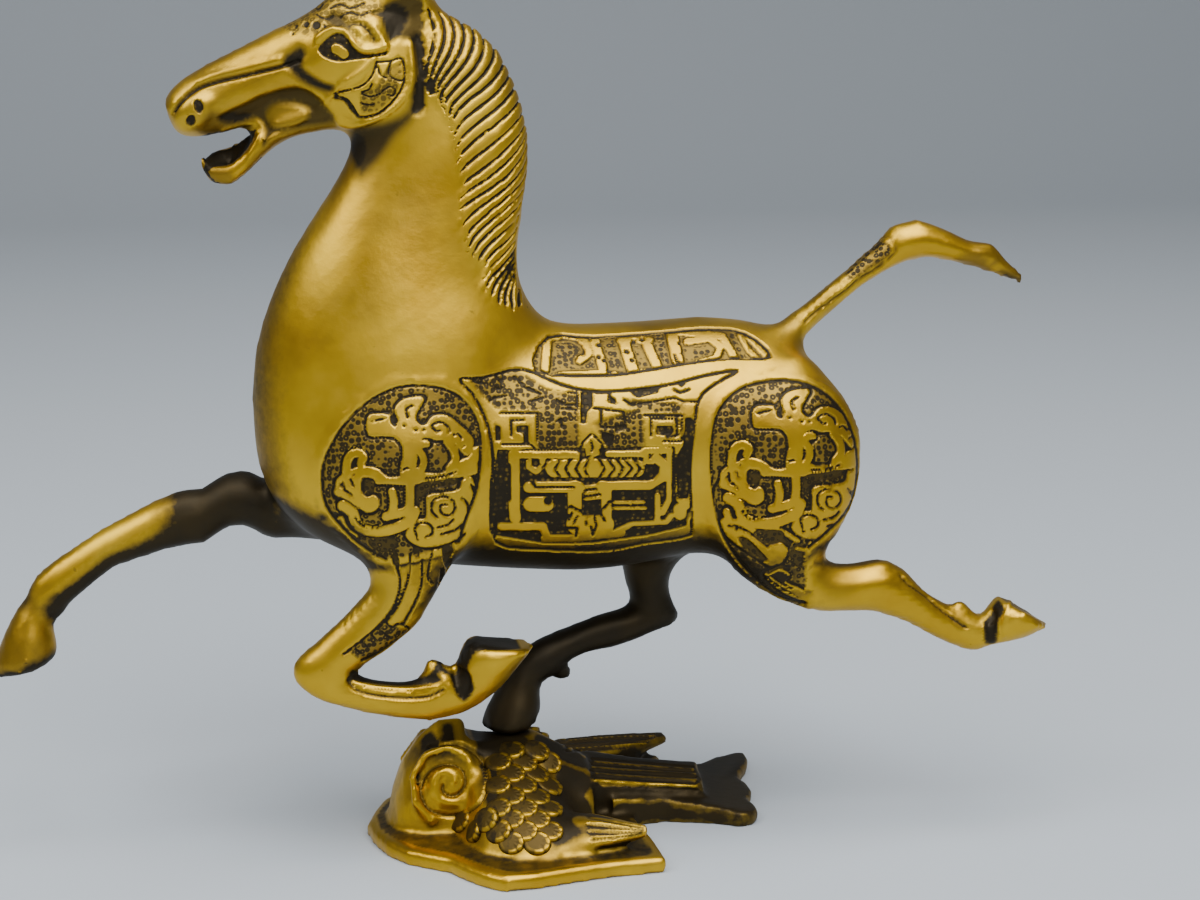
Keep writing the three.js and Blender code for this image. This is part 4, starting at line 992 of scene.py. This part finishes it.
def soft_forms(skin, name, forms, zone):
    """Soft hollows and ridges: the height in millimetres and the darkness at each point, painted shade above
    zero and a painted highlight below it.
    """
    at = cells(skin.points, name)[zone]
    full = np.zeros((2, len(skin.points)))
    height, dark = np.zeros((2, len(at)))
    for amount, softness, shade, *outline in forms.get("soft", ()):
        share = ramp(-outline_distance(at, outline, True, True), -softness, softness)
        height += amount * share
        dark += shade * share
    for amount, half, shade, *line in forms.get("ridges", ()):
        share = 1 - ramp(outline_distance(at, line, False, True), 0.15 * half, 1.25 * half)
        height += amount * share
        dark += shade * share
    full[:, zone] = height, dark
    return full


class Relief:
    """What is cut, punched, raised and darkened at each point of a skin."""

    def __init__(self, skin):
        self.skin = skin
        self.carve = np.full(len(skin.points), REACH)
        self.deep, self.punch, self.rise, self.dark = np.zeros((4, len(skin.points)))
        self.tone = np.ones(len(skin.points))

    def cut(self, zone, field, deep, punched):
        """Adds cuts where the field is below zero, as deep as a hollow where deep is 1."""
        self.carve[zone] = np.minimum(self.carve, field)[zone]
        self.deep[zone] = np.maximum(self.deep, deep)[zone]
        self.punch[zone] = np.maximum(self.punch, punched)[zone]

    def model(self, zone, name, forms):
        """Adds soft forms with their painted shade and painted highlights."""
        height, shade = soft_forms(self.skin, name, forms, zone)
        self.rise += height
        self.dark += shade

    def near_panels(self):
        for name, panel in NEAR_PANELS.items():
            carving = Carving(self.skin, name)
            half_width = LINE_HALF_WIDTH / carving.size
            for motif in panel.motifs:
                carving.motif(motif, half_width, panel.rounded)
            carving.outline_figure(1.2 * half_width)
            edge = carving.inside(name)
            zone = panel_zone(self.skin, name, 0.9 * REACH)
            self.cut(zone, carving.cuts(), ramp(-carving.hollow, 0, 2), carving.punched)
            self.tone[zone & (edge < 0)] = panel.darkness
            if panel.rimmed:
                rim = np.exp(-((edge * carving.size - RIM_AWAY) / RIM_SPREAD) ** 2) * (edge < REACH)
                self.rise[zone] += (RIM_HEIGHT * rim)[zone]

    def far_panels(self):
        zone = far_zone(self.skin)
        for name, (border, *lines) in FAR_PANELS.items():
            at = cells(self.skin.points, name)
            edge = outline_distance(at, border, True, True)
            scroll = nearest_line(at, lines, name != "saddle")
            groove = np.minimum(np.abs(edge), np.where(edge < 0, scroll, REACH))
            ground = np.minimum(ramp(-edge, 0, 2), ramp(scroll, 3, 5))
            self.cut(zone, groove * GRIDS[name].size() - LINE_HALF_WIDTH, 0, ground)

    def head(self):
        zone = head_zone(self.skin, 2)
        carving = Carving(self.skin, "head")
        carving.motif(HEAD, HEAD_LINE_HALF_WIDTH / carving.size, True)
        self.cut(zone, carving.cuts(), ramp(-carving.hollow, -1, 1), 0.7 * carving.punched)
        self.model(zone, "head", HEAD)

    def limbs(self):
        for name, (region, least_facing) in LIMB_REGIONS.items():
            zone = within(self.skin.points, region) & (self.skin.marks["facing"] > least_facing)
            self.model(zone, name, LIMB_FORMS[name])
            at = cells(self.skin.points[zone], name)
            for outline in LIMB_FORMS[name].get("punched", ()):
                self.punch[zone] = np.maximum(self.punch[zone], punched_inside(at, outline))

    def mane(self):
        field, height = mane_cut(self.skin)
        self.carve = np.minimum(self.carve, field)
        self.rise += height

    def apply(self):
        """Moves the skin, with crisp walls at the cuts; gives 1 for each point in a cut and 0 outside."""
        skin = self.skin
        skin.marks.update(deep=self.deep, punch=self.punch, rise=self.rise, dark=self.dark, tone=self.tone)
        skin.marks["carve"] = np.clip(self.carve, -2, 2)
        for level in (-WALL, WALL):
            skin.cut_along("carve", level, WALL_SNAP)
        marks = skin.marks
        cut = 1 - ramp(marks["carve"], -WALL, WALL)
        depth = GROOVE_DEPTH + (HOLLOW_DEPTH - GROOVE_DEPTH) * marks["deep"]
        depth = np.maximum(depth * cut, GROUND_DEPTH * marks["punch"])
        skin.push_out(marks["rise"] - depth)
        return cut


def lift_far_lip(skin):
    """The lower jaw is a scoop: its far rim stands higher, so that its inside shows from the near side."""
    along = (-101, -97, -94, -90, -87, -84, -81)
    lift = np.interp(skin.points[:, 0], along, (0, 2.6, 4.4, 4.6, 3.4, 1.2, 0))
    skin.points[:, 2] += lift * fade(skin.points, y=(-2, 4.5), z=(204, 201.5))


def horse_patina_and_shade(skin):
    """Brown patina and painted shade: dark on the far legs, the leg that stands on the plinth and in the
    mouth; painted shade below, on the chest's front, and, with patina, where forms are close; painted light
    on the top of the far forefoot and along raised ridges.
    """
    points, normals, marks = skin.points, skin.normals(), skin.marks
    downward, forward = -normals[:, 2], -normals[:, 0]
    far_leg = fade(points, x=(-90, -80), y=(-2, 6), z=(104, 88))
    reaching = fade(points, x=(-72, -84), y=(-6, 2), z=(116, 104))
    pastern = fade(points, x=(-146, -152), z=(67, 71)) * fade(points, z=(81, 77))
    # painted light: upward-facing parts of the far forefoot are kept gold, less so in a band at the pastern
    gold_showing = fade(points, x=(-104, -120)) * ramp(downward, 0.5, -0.3) * (1 - 0.8 * pastern)
    reaching = reaching * (1 - gold_showing * np.where(points[:, 2] < 70, 0.7, 0.95))
    # painted shade on surfaces that face down, low on the body and legs
    underside = ramp(downward, 0.0, 0.5) * fade(points, z=(66, 80)) * fade(points, z=(99, 86))
    # painted shade on the downward-facing lower front of the breast
    breast = ramp(downward, 0.1, 0.55) * fade(points, x=(-52, -62), z=(84, 92)) * fade(points, z=(126, 104))
    standing = fade(points, x=(-30, -24), y=(-13, -9), z=(92, 70)) * fade(points, x=(76, 66))
    mouth = within(points, MOUTH_REGION) & (marks["facing"] > 0.05)
    # painted shade on the forward-facing front of the chest and neck, turned away from the light
    chest = ramp(forward, 0.5, 0.92) * fade(points, z=(96, 108)) * fade(points, z=(195, 165))
    patina_and_shade = np.maximum.reduce((
        0.9 * far_leg,
        0.9 * reaching,
        0.9 * standing,
        0.9 * mouth,
        0.85 * underside,
        0.85 * breast,
        0.55 * chest * (points[:, 0] < -40),
        # patina in the hollows, with painted shade, where forms close in
        ramp(marks["shelter"], 0.25, 0.6),
    ))
    # below zero the soft forms' darkness is a painted highlight, which takes patina off raised ridges
    return np.clip(patina_and_shade + np.minimum(marks["dark"], 0), 0, 1)


def horse_skin(settings):
    skin = skin_of("horse", settings.voxel)
    round_off(skin, settings)
    lift_far_lip(skin)
    skin.marks["facing"] = skin.turned_to(VIEWED_FROM)
    skin.marks["far"] = skin.turned_to(VIEWED_FROM * (1, -1, 1))
    skin.marks["shelter"] = shelter(skin, HORSE_SHELTER)
    mark_mane(skin)
    skin.refine(spacing)
    relief = Relief(skin)
    relief.near_panels()
    relief.far_panels()
    relief.head()
    relief.limbs()
    relief.mane()
    cut = relief.apply()
    marks = skin.marks
    # dark in the carved cuts, where patina lies, the hollows as dark as their panel says, and painted shade
    # where the soft forms are dark
    recess_and_shade = np.maximum(cut * (1 - (1 - marks["tone"]) * marks["deep"]), np.clip(marks["dark"], 0, 1))
    skin.marks = {
        "recess_and_shade": recess_and_shade,
        "patina_and_shade": horse_patina_and_shade(skin),
        "punch": marks["punch"],
        "hollow": cut * marks["deep"],
    }
    keep_size(skin, "horse")
    return skin


def seen_place(tree, column, row, side):
    """The place, the way out and the way down where a cell of the plinth's grid lies on one side."""
    grid = GRIDS["base"]
    eye, mirror = Vector(VIEWED_FROM), Vector((1, -side, 1))
    hits = []
    for right, down in ((0, 0), (-5, 0), (5, 0), (0, -5), (0, 5)):
        x, z = grid.place(column + right, row + down)
        way = (Vector((x, grid.plane, z)) - eye).normalized()
        hits.append(tree.ray_cast(eye * mirror, way * mirror)[0])
    if None in hits:
        return None
    out = (hits[2] - hits[1]).cross(hits[3] - hits[4]).normalized() * -side
    down = Vector((1.0, side * 0.15, -0.35))
    return hits[0], out, (down - down.dot(out) * out).normalized()


def one_scale():
    """A rounded scale one unit long and wide, with a lip round its tip and short cuts in the lip."""
    sides, rings = 28, 7
    points, recess_and_shade, patina_and_shade = [(0.0, 0.0, 0.5)], [0.9], [0.3]
    for ring in range(1, rings + 1):
        reach = ring / rings
        for k in range(sides):
            angle = 2 * math.pi * k / sides
            tip = max(0.0, math.cos(angle))
            along = 0.5 * reach * math.cos(angle)
            lip = 0.25 * tip * math.exp(-((reach - 0.86) / 0.1) ** 2)
            cuts = max(0.0, math.cos(angle * 9)) ** 2 * (0.4 < reach < 0.95) * (tip > 0.3)
            height = 0.5 - 0.3 * reach ** 3 + along + lip - 0.15 * cuts - 1.2 * (ring == rings)
            points.append((0.5 * reach * math.sin(angle), along, height))
            recess_and_shade.append(max(0.9 * cuts, 0.9 * (reach < 0.6), float(ring == rings)))
            patina_and_shade.append(0.3 + 0.4 * (tip < 0.2))
    turns = [(k, (k + 1) % sides) for k in range(sides)]
    faces = [(0, 1 + k, 1 + after) for k, after in turns]
    for first in range(1, 1 + (rings - 1) * sides, sides):
        faces += [(first + k, first + sides + k, first + sides + after, first + after) for k, after in turns]
    faces.append(tuple(range(rings * sides, (rings - 1) * sides, -1)))
    mesh = bpy.data.meshes.new("one_scale")
    mesh.from_pydata(points, [], faces)
    for name, values in (("recess_and_shade", recess_and_shade), ("patina_and_shade", patina_and_shade)):
        mesh.attributes.new(name, "FLOAT", "POINT").data.foreach_set("value", values)
    return put_in_scene("one_scale", mesh)


def add(tree, kind, inputs=None, **values):
    """A node with its settings, and each input given as a value or as a socket to link from."""
    node = tree.nodes.new(kind)
    for name, value in values.items():
        setattr(node, name, value)
    for name, value in (inputs or {}).items():
        if isinstance(value, bpy.types.NodeSocket):
            tree.links.new(value, node.inputs[name])
        else:
            node.inputs[name].default_value = value
    return node


def scale_tree(pattern, material):
    """Puts a copy of the pattern, sized by named inputs, on every point, turned as the point says."""
    tree = bpy.data.node_groups.new("Scales", "GeometryNodeTree")
    face = tree.interface
    face.new_socket("Geometry", in_out="INPUT", socket_type="NodeSocketGeometry")
    face.new_socket("Geometry", in_out="OUTPUT", socket_type="NodeSocketGeometry")
    for name in ("Width", "Length", "Thickness", "Unevenness"):
        face.new_socket(name, in_out="INPUT", socket_type="NodeSocketFloat")
    seed = face.new_socket("Seed", in_out="INPUT", socket_type="NodeSocketInt")
    seed.default_value = 7
    enter = add(tree, "NodeGroupInput").outputs
    turn = add(tree, "GeometryNodeInputNamedAttribute", {"Name": "turn"}, data_type="FLOAT_VECTOR")
    sizes = {"X": enter["Width"], "Y": enter["Length"], "Z": enter["Thickness"]}
    size = add(tree, "ShaderNodeCombineXYZ", sizes)
    least, most = (
        add(tree, "ShaderNodeMath", {0: 1.0, 1: enter["Unevenness"]}, operation=operation).outputs[0]
        for operation in ("SUBTRACT", "ADD")
    )
    vary = add(tree, "FunctionNodeRandomValue", {2: least, 3: most, 8: enter["Seed"]}, data_type="FLOAT")
    uneven = add(tree, "ShaderNodeVectorMath", {0: size.outputs["Vector"], "Scale": vary.outputs[1]},
                 operation="SCALE")
    shape = add(tree, "GeometryNodeObjectInfo", {"Object": pattern})
    copies = add(tree, "GeometryNodeInstanceOnPoints", {
        "Points": enter["Geometry"],
        "Instance": shape.outputs["Geometry"],
        "Rotation": turn.outputs["Attribute"],
        "Scale": uneven.outputs["Vector"],
    })
    real = add(tree, "GeometryNodeRealizeInstances", {"Geometry": copies.outputs["Instances"]})
    coating = {"Geometry": real.outputs["Geometry"], "Material": material}
    coated = add(tree, "GeometryNodeSetMaterial", coating)
    add(tree, "NodeGroupOutput", {0: coated.outputs["Geometry"]})
    return tree


def scales(skin, settings, material):
    """The rows of scales on both sides of the plinth, as one plain mesh."""
    body = skin.tree()
    places, turns = [], []
    at = np.array([
        (SCALE_START[0] + SCALE_STEP[0] * column, SCALE_START[1] + SCALE_STEP[1] * (row + 0.5 * (column % 2)))
        for column in range(9) for row in range(-1, 5)
    ])
    for column, row in at[outline_distance(at, SCALE_AREA, True) < 0]:
        for side in (-1, 1):
            found = seen_place(body, column, row, side)
            if found:
                place, out, down = found
                turns.append(Matrix((down.cross(out), down, out)).transposed().to_euler())
                places.append((place + 0.1 * out) * MM)
    mesh = bpy.data.meshes.new("scale_places")
    mesh.from_pydata(places, [], [])
    mesh.attributes.new("turn", "FLOAT_VECTOR", "POINT").data.foreach_set("vector", np.array(turns).ravel())
    rows = put_in_scene("scale_places", mesh)
    pattern = one_scale()
    modifier = rows.modifiers.new("Scales", "NODES")
    modifier.node_group = scale_tree(pattern, material)
    values = {
        "Width": settings.scale_width,
        "Length": settings.scale_length,
        "Thickness": settings.scale_thickness,
        "Unevenness": 0.06,
        "Seed": 7,
    }
    for socket in modifier.node_group.interface.items_tree:
        if socket.name in values:
            modifier[socket.identifier] = values[socket.name]
    result = bpy.data.meshes.new_from_object(rows.evaluated_get(bpy.context.evaluated_depsgraph_get()))
    rows.modifiers.remove(modifier)
    for piece in (rows, pattern):
        bpy.data.objects.remove(piece)
    return result


def rib_spacing(skin):
    """How fine the skin of the plinth is to be at each point."""
    away = nearest_line(cells(skin.points, "base"), [line[3:] for line in PLINTH_FORMS["ridges"]], False)
    return np.where((away < 3) & (skin.marks["facing"] > 0), RIB_EDGE, NO_LIMIT)


def plinth_patina_and_shade(skin, dark):
    """Brown patina, rubbed off the edges, the curl and the rim of the plate, with painted shade where forms
    are close and a painted highlight along the raised ribs.
    """
    points, marks = skin.points, skin.marks
    x, y, z = points.T
    worn = ramp(marks["edge"], 0.05, 0.3)
    level = ramp(skin.normals()[:, 2], 0.55, 0.95)
    curl = fade(points, x=(-22, -30), z=(5, 8))
    age_and_shade = 0.8 * level * fade(points, z=(26, 24)) + 0.35
    age_and_shade = age_and_shade * (1 - curl) + curl * (0.28 + 0.6 * ramp(z, 20, 31))
    age_and_shade = np.maximum.reduce((
        age_and_shade,
        0.95 * fade(points, x=(-30, -24), z=(20, 27)),
        0.9 * fade(points, x=(-30, -22), y=(-14, -6), z=(3, 5)),
        0.9 * fade(points, x=(-8, -1), y=(-34, -28)),
        0.9 * ramp(x, 20, 25),
        # patina with painted shade where forms close in
        ramp(marks["shelter"], 0.2, 0.55),
    ))
    gold_showing = np.clip(ramp(-y, 20, 30) + ramp(x, -26, -34), 0.4, 1) * (1 - 0.4 * ramp(x, 20, 25)) * worn
    age_and_shade = age_and_shade * (1 - 0.85 * gold_showing) - 0.4 * gold_showing
    plate = fade(points, x=(26, 22), z=(7, 5.5)) * (1 - fade(points, x=(-4, 4), y=(-26, -20)))
    # painted shade joins the patina where the plate is closed in
    on_plate = np.clip(0.1 + 0.75 * level + 0.6 * marks["shelter"] - 1.3 * worn, 0, 0.7)
    age_and_shade = age_and_shade * (1 - plate) + plate * on_plate
    # below zero the darkness is a painted highlight along the streamers' ribs
    return np.clip(age_and_shade + np.minimum(dark, 0), 0, 1)


def plinth_skin(settings, material):
    skin = skin_of("plinth", settings.plinth_voxel)
    points = skin.points
    scaly = fade(points, x=(-30, -24), z=(5.5, 7)) * fade(points, x=(6, 2))
    scaly = scaly * ramp(np.abs(points[:, 1]), 9, 12)
    blur = PLINTH_BLUR + (SCALE_AREA_BLUR - PLINTH_BLUR) * scaly
    rounds = blur_rounds(SCALE_AREA_BLUR, settings.plinth_voxel)
    skin.points = skin.spread(points, rounds, (blur / SCALE_AREA_BLUR) ** 2)
    inward = ((skin.spread(skin.points, 12) - skin.points) * skin.normals()).sum(axis=1)
    skin.marks["edge"] = skin.spread(-inward, 1)
    skin.marks["shelter"] = shelter(skin, PLINTH_SHELTER)
    skin.marks["facing"] = skin.turned_to(VIEWED_FROM)
    skin.refine(rib_spacing)
    rise, dark = soft_forms(skin, "base", PLINTH_FORMS, skin.marks["facing"] > 0)
    skin.push_out(rise)
    none = np.zeros(len(dark))
    skin.marks = {
        "recess_and_shade": np.clip(dark, 0, 1),
        "patina_and_shade": plinth_patina_and_shade(skin, dark),
        "punch": none,
        "hollow": none,
    }
    scale_mesh = scales(skin, settings, material)
    skin.join(scale_mesh)
    bpy.data.meshes.remove(scale_mesh)
    keep_size(skin, "plinth")
    return skin


class Recipe:
    """The nodes of one material."""

    def __init__(self, name):
        self.material = bpy.data.materials.new(name)
        self.material.use_nodes = True
        self.tree = self.material.node_tree
        self.tree.nodes.clear()

    def noise(self, scale, detail, roughness):
        """Noise fixed to the piece, so many lumps in a metre."""
        place = add(self.tree, "ShaderNodeTexCoord").outputs["Object"]
        inputs = {"Vector": place, "Scale": scale, "Detail": detail, "Roughness": roughness}
        return add(self.tree, "ShaderNodeTexNoise", inputs).outputs["Fac"]

    def pits(self, scale, randomness):
        """The distance to the nearest of many scattered points, so many in a metre."""
        place = add(self.tree, "ShaderNodeTexCoord").outputs["Object"]
        inputs = {"Vector": place, "Scale": scale, "Randomness": randomness}
        return add(self.tree, "ShaderNodeTexVoronoi", inputs).outputs["Distance"]

    def mark(self, name):
        return add(self.tree, "ShaderNodeAttribute", attribute_name=name).outputs["Fac"]

    def maths(self, operation, *values, clamp=False):
        inputs = dict(enumerate(values))
        return add(self.tree, "ShaderNodeMath", inputs, operation=operation, use_clamp=clamp).outputs[0]

    def times(self, one, other, clamp=False):
        return self.maths("MULTIPLY", one, other, clamp=clamp)

    def most(self, one, other, clamp=False):
        return self.maths("MAXIMUM", one, other, clamp=clamp)

    def swing(self, noise, amount, about):
        """A value made uneven by a noise."""
        return self.maths("MULTIPLY_ADD", self.maths("SUBTRACT", noise, 0.5), amount, about)

    def span(self, value, low, high, start=0.0, end=1.0):
        """Start below low, end above high and even steps between."""
        inputs = {"Value": value, "From Min": low, "From Max": high, "To Min": start, "To Max": end}
        return add(self.tree, "ShaderNodeMapRange", inputs).outputs["Result"]

    def mix(self, share, one, other):
        """A number between two, by share."""
        return add(self.tree, "ShaderNodeMix", {0: share, 2: one, 3: other}, data_type="FLOAT").outputs[0]

    def blend(self, share, one, other):
        """A colour between two, by share."""
        return add(self.tree, "ShaderNodeMix", {0: share, 6: one, 7: other}, data_type="RGBA").outputs[2]

    def finish(self, inputs):
        """Ends the material in a surface with these inputs."""
        shader = add(self.tree, "ShaderNodeBsdfPrincipled", inputs)
        add(self.tree, "ShaderNodeOutputMaterial", {"Surface": shader.outputs["BSDF"]})
        return self.material


def brass(name, settings):
    """Polished yellow brass, brown patina in the recesses and painted shade from the marks, painted glints in
    the hollows, and punched rings on the grounds of the carving.
    """
    recipe = Recipe(name)
    maths, times, most, swing, span = recipe.maths, recipe.times, recipe.most, recipe.swing, recipe.span
    cloud, smear = recipe.noise(28.0, 4.0, 0.6), recipe.noise(17.0, 5.0, 0.65)
    fine, speck = recipe.noise(380.0, 3.0, 0.6), recipe.noise(330.0, 2.0, 0.5)
    recess_and_shade, patina_and_shade, punch, hollow = (recipe.mark(mark) for mark in ("recess_and_shade", "patina_and_shade", "punch", "hollow"))
    bright, deep = (*settings.brass_bright, 1), (*settings.brass_deep, 1)
    brown, black = (*settings.patina_and_shade_colour, 1), (*settings.recess_and_shade_colour, 1)
    ground = (*settings.ground_colour, 1)

    # the punched ground: a ring with a boss in it for each punch mark
    worked = most(punch, hollow)
    from_punch = swing(fine, 0.4, recipe.pits(settings.punch_scale, 0.55))
    boss = span(from_punch, 0.06, 0.16, 1.0, 0.0)
    ring = maths("SUBTRACT", span(from_punch, 0.46, 0.58, 1.0, 0.0), boss, clamp=True)
    rings = times(ring, worked)

    # how dark each place is: patina and painted shade in patches, recesses and painted shade but for their
    # painted glints, punch marks and specks
    glint = times(hollow, span(from_punch, 0.15, 0.4, 0.75, 0.0))
    recess_and_shade = times(recess_and_shade, maths("SUBTRACT", 1.0, glint))
    patches = span(swing(cloud, 0.5, swing(fine, 0.35, patina_and_shade)), 0.15, 0.75)
    veil = times(patches, times(patina_and_shade, 5.0, clamp=True), clamp=True)
    dark = most(most(veil, recess_and_shade), times(rings, 0.95), clamp=True)
    dark = most(dark, span(speck, 0.73, 0.8, 0.0, 0.5))

    metal = recipe.blend(span(cloud, 0.35, 0.7), deep, bright)
    metal = recipe.blend(times(worked, 0.75), metal, ground)
    metal = recipe.blend(span(smear, 0.52, 0.7, 0.0, 0.45), metal, ground)
    # the colour of the dark places: brown patina and painted shade, black in the recesses
    crust_and_shade = recipe.blend(times(veil, span(cloud, 0.4, 0.62)), black, brown)
    polish = span(cloud, 0.3, 0.7, settings.roughness - 0.05, settings.roughness + 0.07)
    height = maths("MULTIPLY_ADD", rings, -1.6, fine)
    bump = add(recipe.tree, "ShaderNodeBump", {"Strength": 0.16, "Distance": 0.0004, "Height": height})
    return recipe.finish({
        "Base Color": recipe.blend(dark, metal, crust_and_shade),
        "Metallic": recipe.mix(dark, 1.0, 0.8),
        "Roughness": recipe.mix(most(dark, times(worked, 0.5)), polish, 0.52),
        "Normal": bump.outputs["Normal"],
    })


class HorseCastingSettings(bpy.types.PropertyGroup):
    """How the castings are skinned and smoothed."""

    voxel: FloatProperty(
        name="Voxel", description="Spacing of the skin",
        default=0.00185, unit="LENGTH")
    smoothing: FloatProperty(
        name="Smoothing", description="Widest blur of the cast forms",
        default=0.006, unit="LENGTH")
    softness: FloatProperty(
        name="Softness", description="Blur as a share of the thickness",
        default=0.16, min=0, subtype="FACTOR")
    plinth_voxel: FloatProperty(
        name="Plinth voxel", description="Spacing of the skin of the plinth",
        default=0.001, unit="LENGTH")
    scale_width: FloatProperty(
        name="Scale width", description="Width of one scale",
        default=0.0078, unit="LENGTH")
    scale_length: FloatProperty(
        name="Scale length", description="Length of one scale",
        default=0.0088, unit="LENGTH")
    scale_thickness: FloatProperty(
        name="Scale thickness", description="How far a scale stands out",
        default=0.0013, unit="LENGTH")


class HorseFinishSettings(bpy.types.PropertyGroup):
    """Colours and gloss of the brass."""

    brass_bright: FloatVectorProperty(
        name="Bright brass", description="Colour of polished brass",
        default=(0.70, 0.45, 0.03), subtype="COLOR")
    brass_deep: FloatVectorProperty(
        name="Deep brass", description="Colour of rubbed brass",
        default=(0.52, 0.30, 0.015), subtype="COLOR")
    # The patina and the painted shade both take this colour.
    patina_and_shade_colour: FloatVectorProperty(
        name="Patina", description="Colour of the brown patina",
        default=(0.04, 0.027, 0.009), subtype="COLOR")
    # The recesses and the painted shade of the soft forms take this colour.
    recess_and_shade_colour: FloatVectorProperty(
        name="Recess", description="Colour of the dark recesses",
        default=(0.024, 0.018, 0.009), subtype="COLOR")
    ground_colour: FloatVectorProperty(
        name="Ground", description="Colour of the punched grounds",
        default=(0.19, 0.125, 0.03), subtype="COLOR")
    punch_scale: FloatProperty(
        name="Punch scale", description="Punched rings in one metre",
        default=620.0)
    roughness: FloatProperty(
        name="Roughness", description="Roughness of the polished brass",
        default=0.38, min=0, max=1, subtype="FACTOR")


class HorseStageSettings(bpy.types.PropertyGroup):
    """Floor, light and camera."""

    floor_colour: FloatVectorProperty(
        name="Floor", description="Colour of the floor and backdrop",
        default=(0.45, 0.495, 0.54), subtype="COLOR")
    key_power: FloatProperty(
        name="Key light", description="Power of the main light in watts",
        default=17.5, unit="POWER")
    lens: FloatProperty(
        name="Lens", description="Focal length in millimetres",
        default=LENS, unit="CAMERA")


class HORSE_OT_casting(bpy.types.Operator):
    """Makes the horse with its mane, head and carved panels"""

    bl_idname = "horse.casting"
    bl_label = "Horse"

    def execute(self, context):
        skin = horse_skin(context.scene.horse_casting)
        piece = skin.to_object("running_horse")
        piece.data.materials.append(brass("polished_brass", context.scene.horse_finish))
        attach(piece, "root")
        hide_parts("horse")
        return {"FINISHED"}


class HORSE_OT_plinth(bpy.types.Operator):
    """Makes the scrolled cloud plinth"""

    bl_idname = "horse.plinth"
    bl_label = "Plinth"

    def execute(self, context):
        material = brass("aged_brass", context.scene.horse_finish)
        piece = plinth_skin(context.scene.horse_casting, material).to_object("cloud_plinth")
        piece.data.materials.append(material)
        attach(piece, "root")
        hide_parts("plinth")
        return {"FINISHED"}


def stage_sweep(colour):
    """The floor runs back and curves up to a backdrop; sizes in metres."""
    half_width = 3.0
    front = -2.2
    back = 1.5
    radius = 0.9
    height = 2.4
    steps = 16
    profile = [(front, 0.0), (0.0, 0.0), (back, 0.0)]
    for i in range(1, steps + 1):
        angle = math.pi / 2 * i / steps
        profile.append((back + radius * math.sin(angle), radius * (1 - math.cos(angle))))
    profile.append((back + radius, height))
    mesh = bpy.data.meshes.new("sweep")
    corners = [(x, y, z) for y, z in profile for x in (-half_width, half_width)]
    faces = [(2 * i, 2 * i + 1, 2 * i + 3, 2 * i + 2) for i in range(len(profile) - 1)]
    mesh.from_pydata(corners, [], faces)
    mesh.polygons.foreach_set("use_smooth", [True] * len(faces))
    mesh.materials.append(Recipe("backdrop").finish({"Base Color": (*colour, 1), "Roughness": 0.85}))
    return put_in_scene("sweep", mesh)


# Soft lights, in metres: where each hangs, its width and depth, and its power as a share of the key light's.
LIGHTS = {
    "key": ((0.25, -0.9, 1.15), (0.9, 0.9), 1.0),
    "fill": ((-1.0, -0.4, 1.25), (1.0, 0.8), 0.7),
    "top": ((0.1, -0.2, 1.5), (1.2, 0.8), 1.0),
}
LIT_MIDDLE = Vector((0.0, 0.0, 0.13))
SKY_GREY = 0.72
SKY_STRENGTH = 0.34


class HORSE_OT_stage(bpy.types.Operator):
    """Makes the pale floor, the soft lights and the camera"""

    bl_idname = "horse.stage"
    bl_label = "Stage"

    def execute(self, context):
        settings = context.scene.horse_stage
        stage_sweep(settings.floor_colour)
        for name, (place, size, share) in LIGHTS.items():
            data = bpy.data.lights.new(name, "AREA")
            data.shape = "RECTANGLE"
            data.size, data.size_y = size
            data.energy = settings.key_power * share
            light = put_in_scene(name, data)
            light.location = place
            light.rotation_euler = (LIT_MIDDLE - Vector(place)).to_track_quat("-Z", "Y").to_euler()
        world = bpy.data.worlds.new("studio")
        context.scene.world = world
        world.use_nodes = True
        sky = world.node_tree.nodes["Background"].inputs
        sky["Color"].default_value = (SKY_GREY, SKY_GREY, SKY_GREY, 1)
        sky["Strength"].default_value = SKY_STRENGTH
        data = bpy.data.cameras.new("camera")
        data.lens = settings.lens
        data.sensor_width = FILM_WIDTH
        camera = put_in_scene("camera", data)
        camera.location = Vector((
            VIEW_AIM + VIEW_DISTANCE * math.sin(VIEW_ASIDE),
            -VIEW_DISTANCE * math.cos(VIEW_ASIDE),
            VIEW_HEIGHT,
        )) * MM
        forward = Vector((
            -math.sin(VIEW_ASIDE) * math.cos(VIEW_PITCH),
            math.cos(VIEW_ASIDE) * math.cos(VIEW_PITCH),
            -math.sin(VIEW_PITCH),
        ))
        camera.rotation_euler = forward.to_track_quat("-Z", "Y").to_euler()
        context.scene.camera = camera
        return {"FINISHED"}


class HORSE_PT_panel(bpy.types.Panel):
    """Lists the pieces of the ornament"""

    bl_label = "Running Horse"
    bl_idname = "HORSE_PT_panel"
    bl_space_type = "VIEW_3D"
    bl_region_type = "UI"
    bl_category = "Horse"

    def draw(self, context):
        for operator in OPERATORS:
            self.layout.operator(operator.bl_idname)
        for group in SETTINGS:
            settings = getattr(context.scene, group)
            for name in settings.__annotations__:
                self.layout.prop(settings, name)


SETTINGS = {
    "horse_casting": HorseCastingSettings,
    "horse_finish": HorseFinishSettings,
    "horse_stage": HorseStageSettings,
}
OPERATORS = (HORSE_OT_casting, HORSE_OT_plinth, HORSE_OT_stage)


def register():
    for cls in (*SETTINGS.values(), *OPERATORS, HORSE_PT_panel):
        bpy.utils.register_class(cls)
    for name, cls in SETTINGS.items():
        setattr(bpy.types.Scene, name, PointerProperty(type=cls))


def unregister():
    for name in SETTINGS:
        delattr(bpy.types.Scene, name)
    for cls in reversed((*SETTINGS.values(), *OPERATORS, HORSE_PT_panel)):
        bpy.utils.unregister_class(cls)


def main():
    register()
    bpy.ops.horse.casting()
    bpy.ops.horse.plinth()
    bpy.ops.horse.stage()


if __name__ == "__main__":
    main()
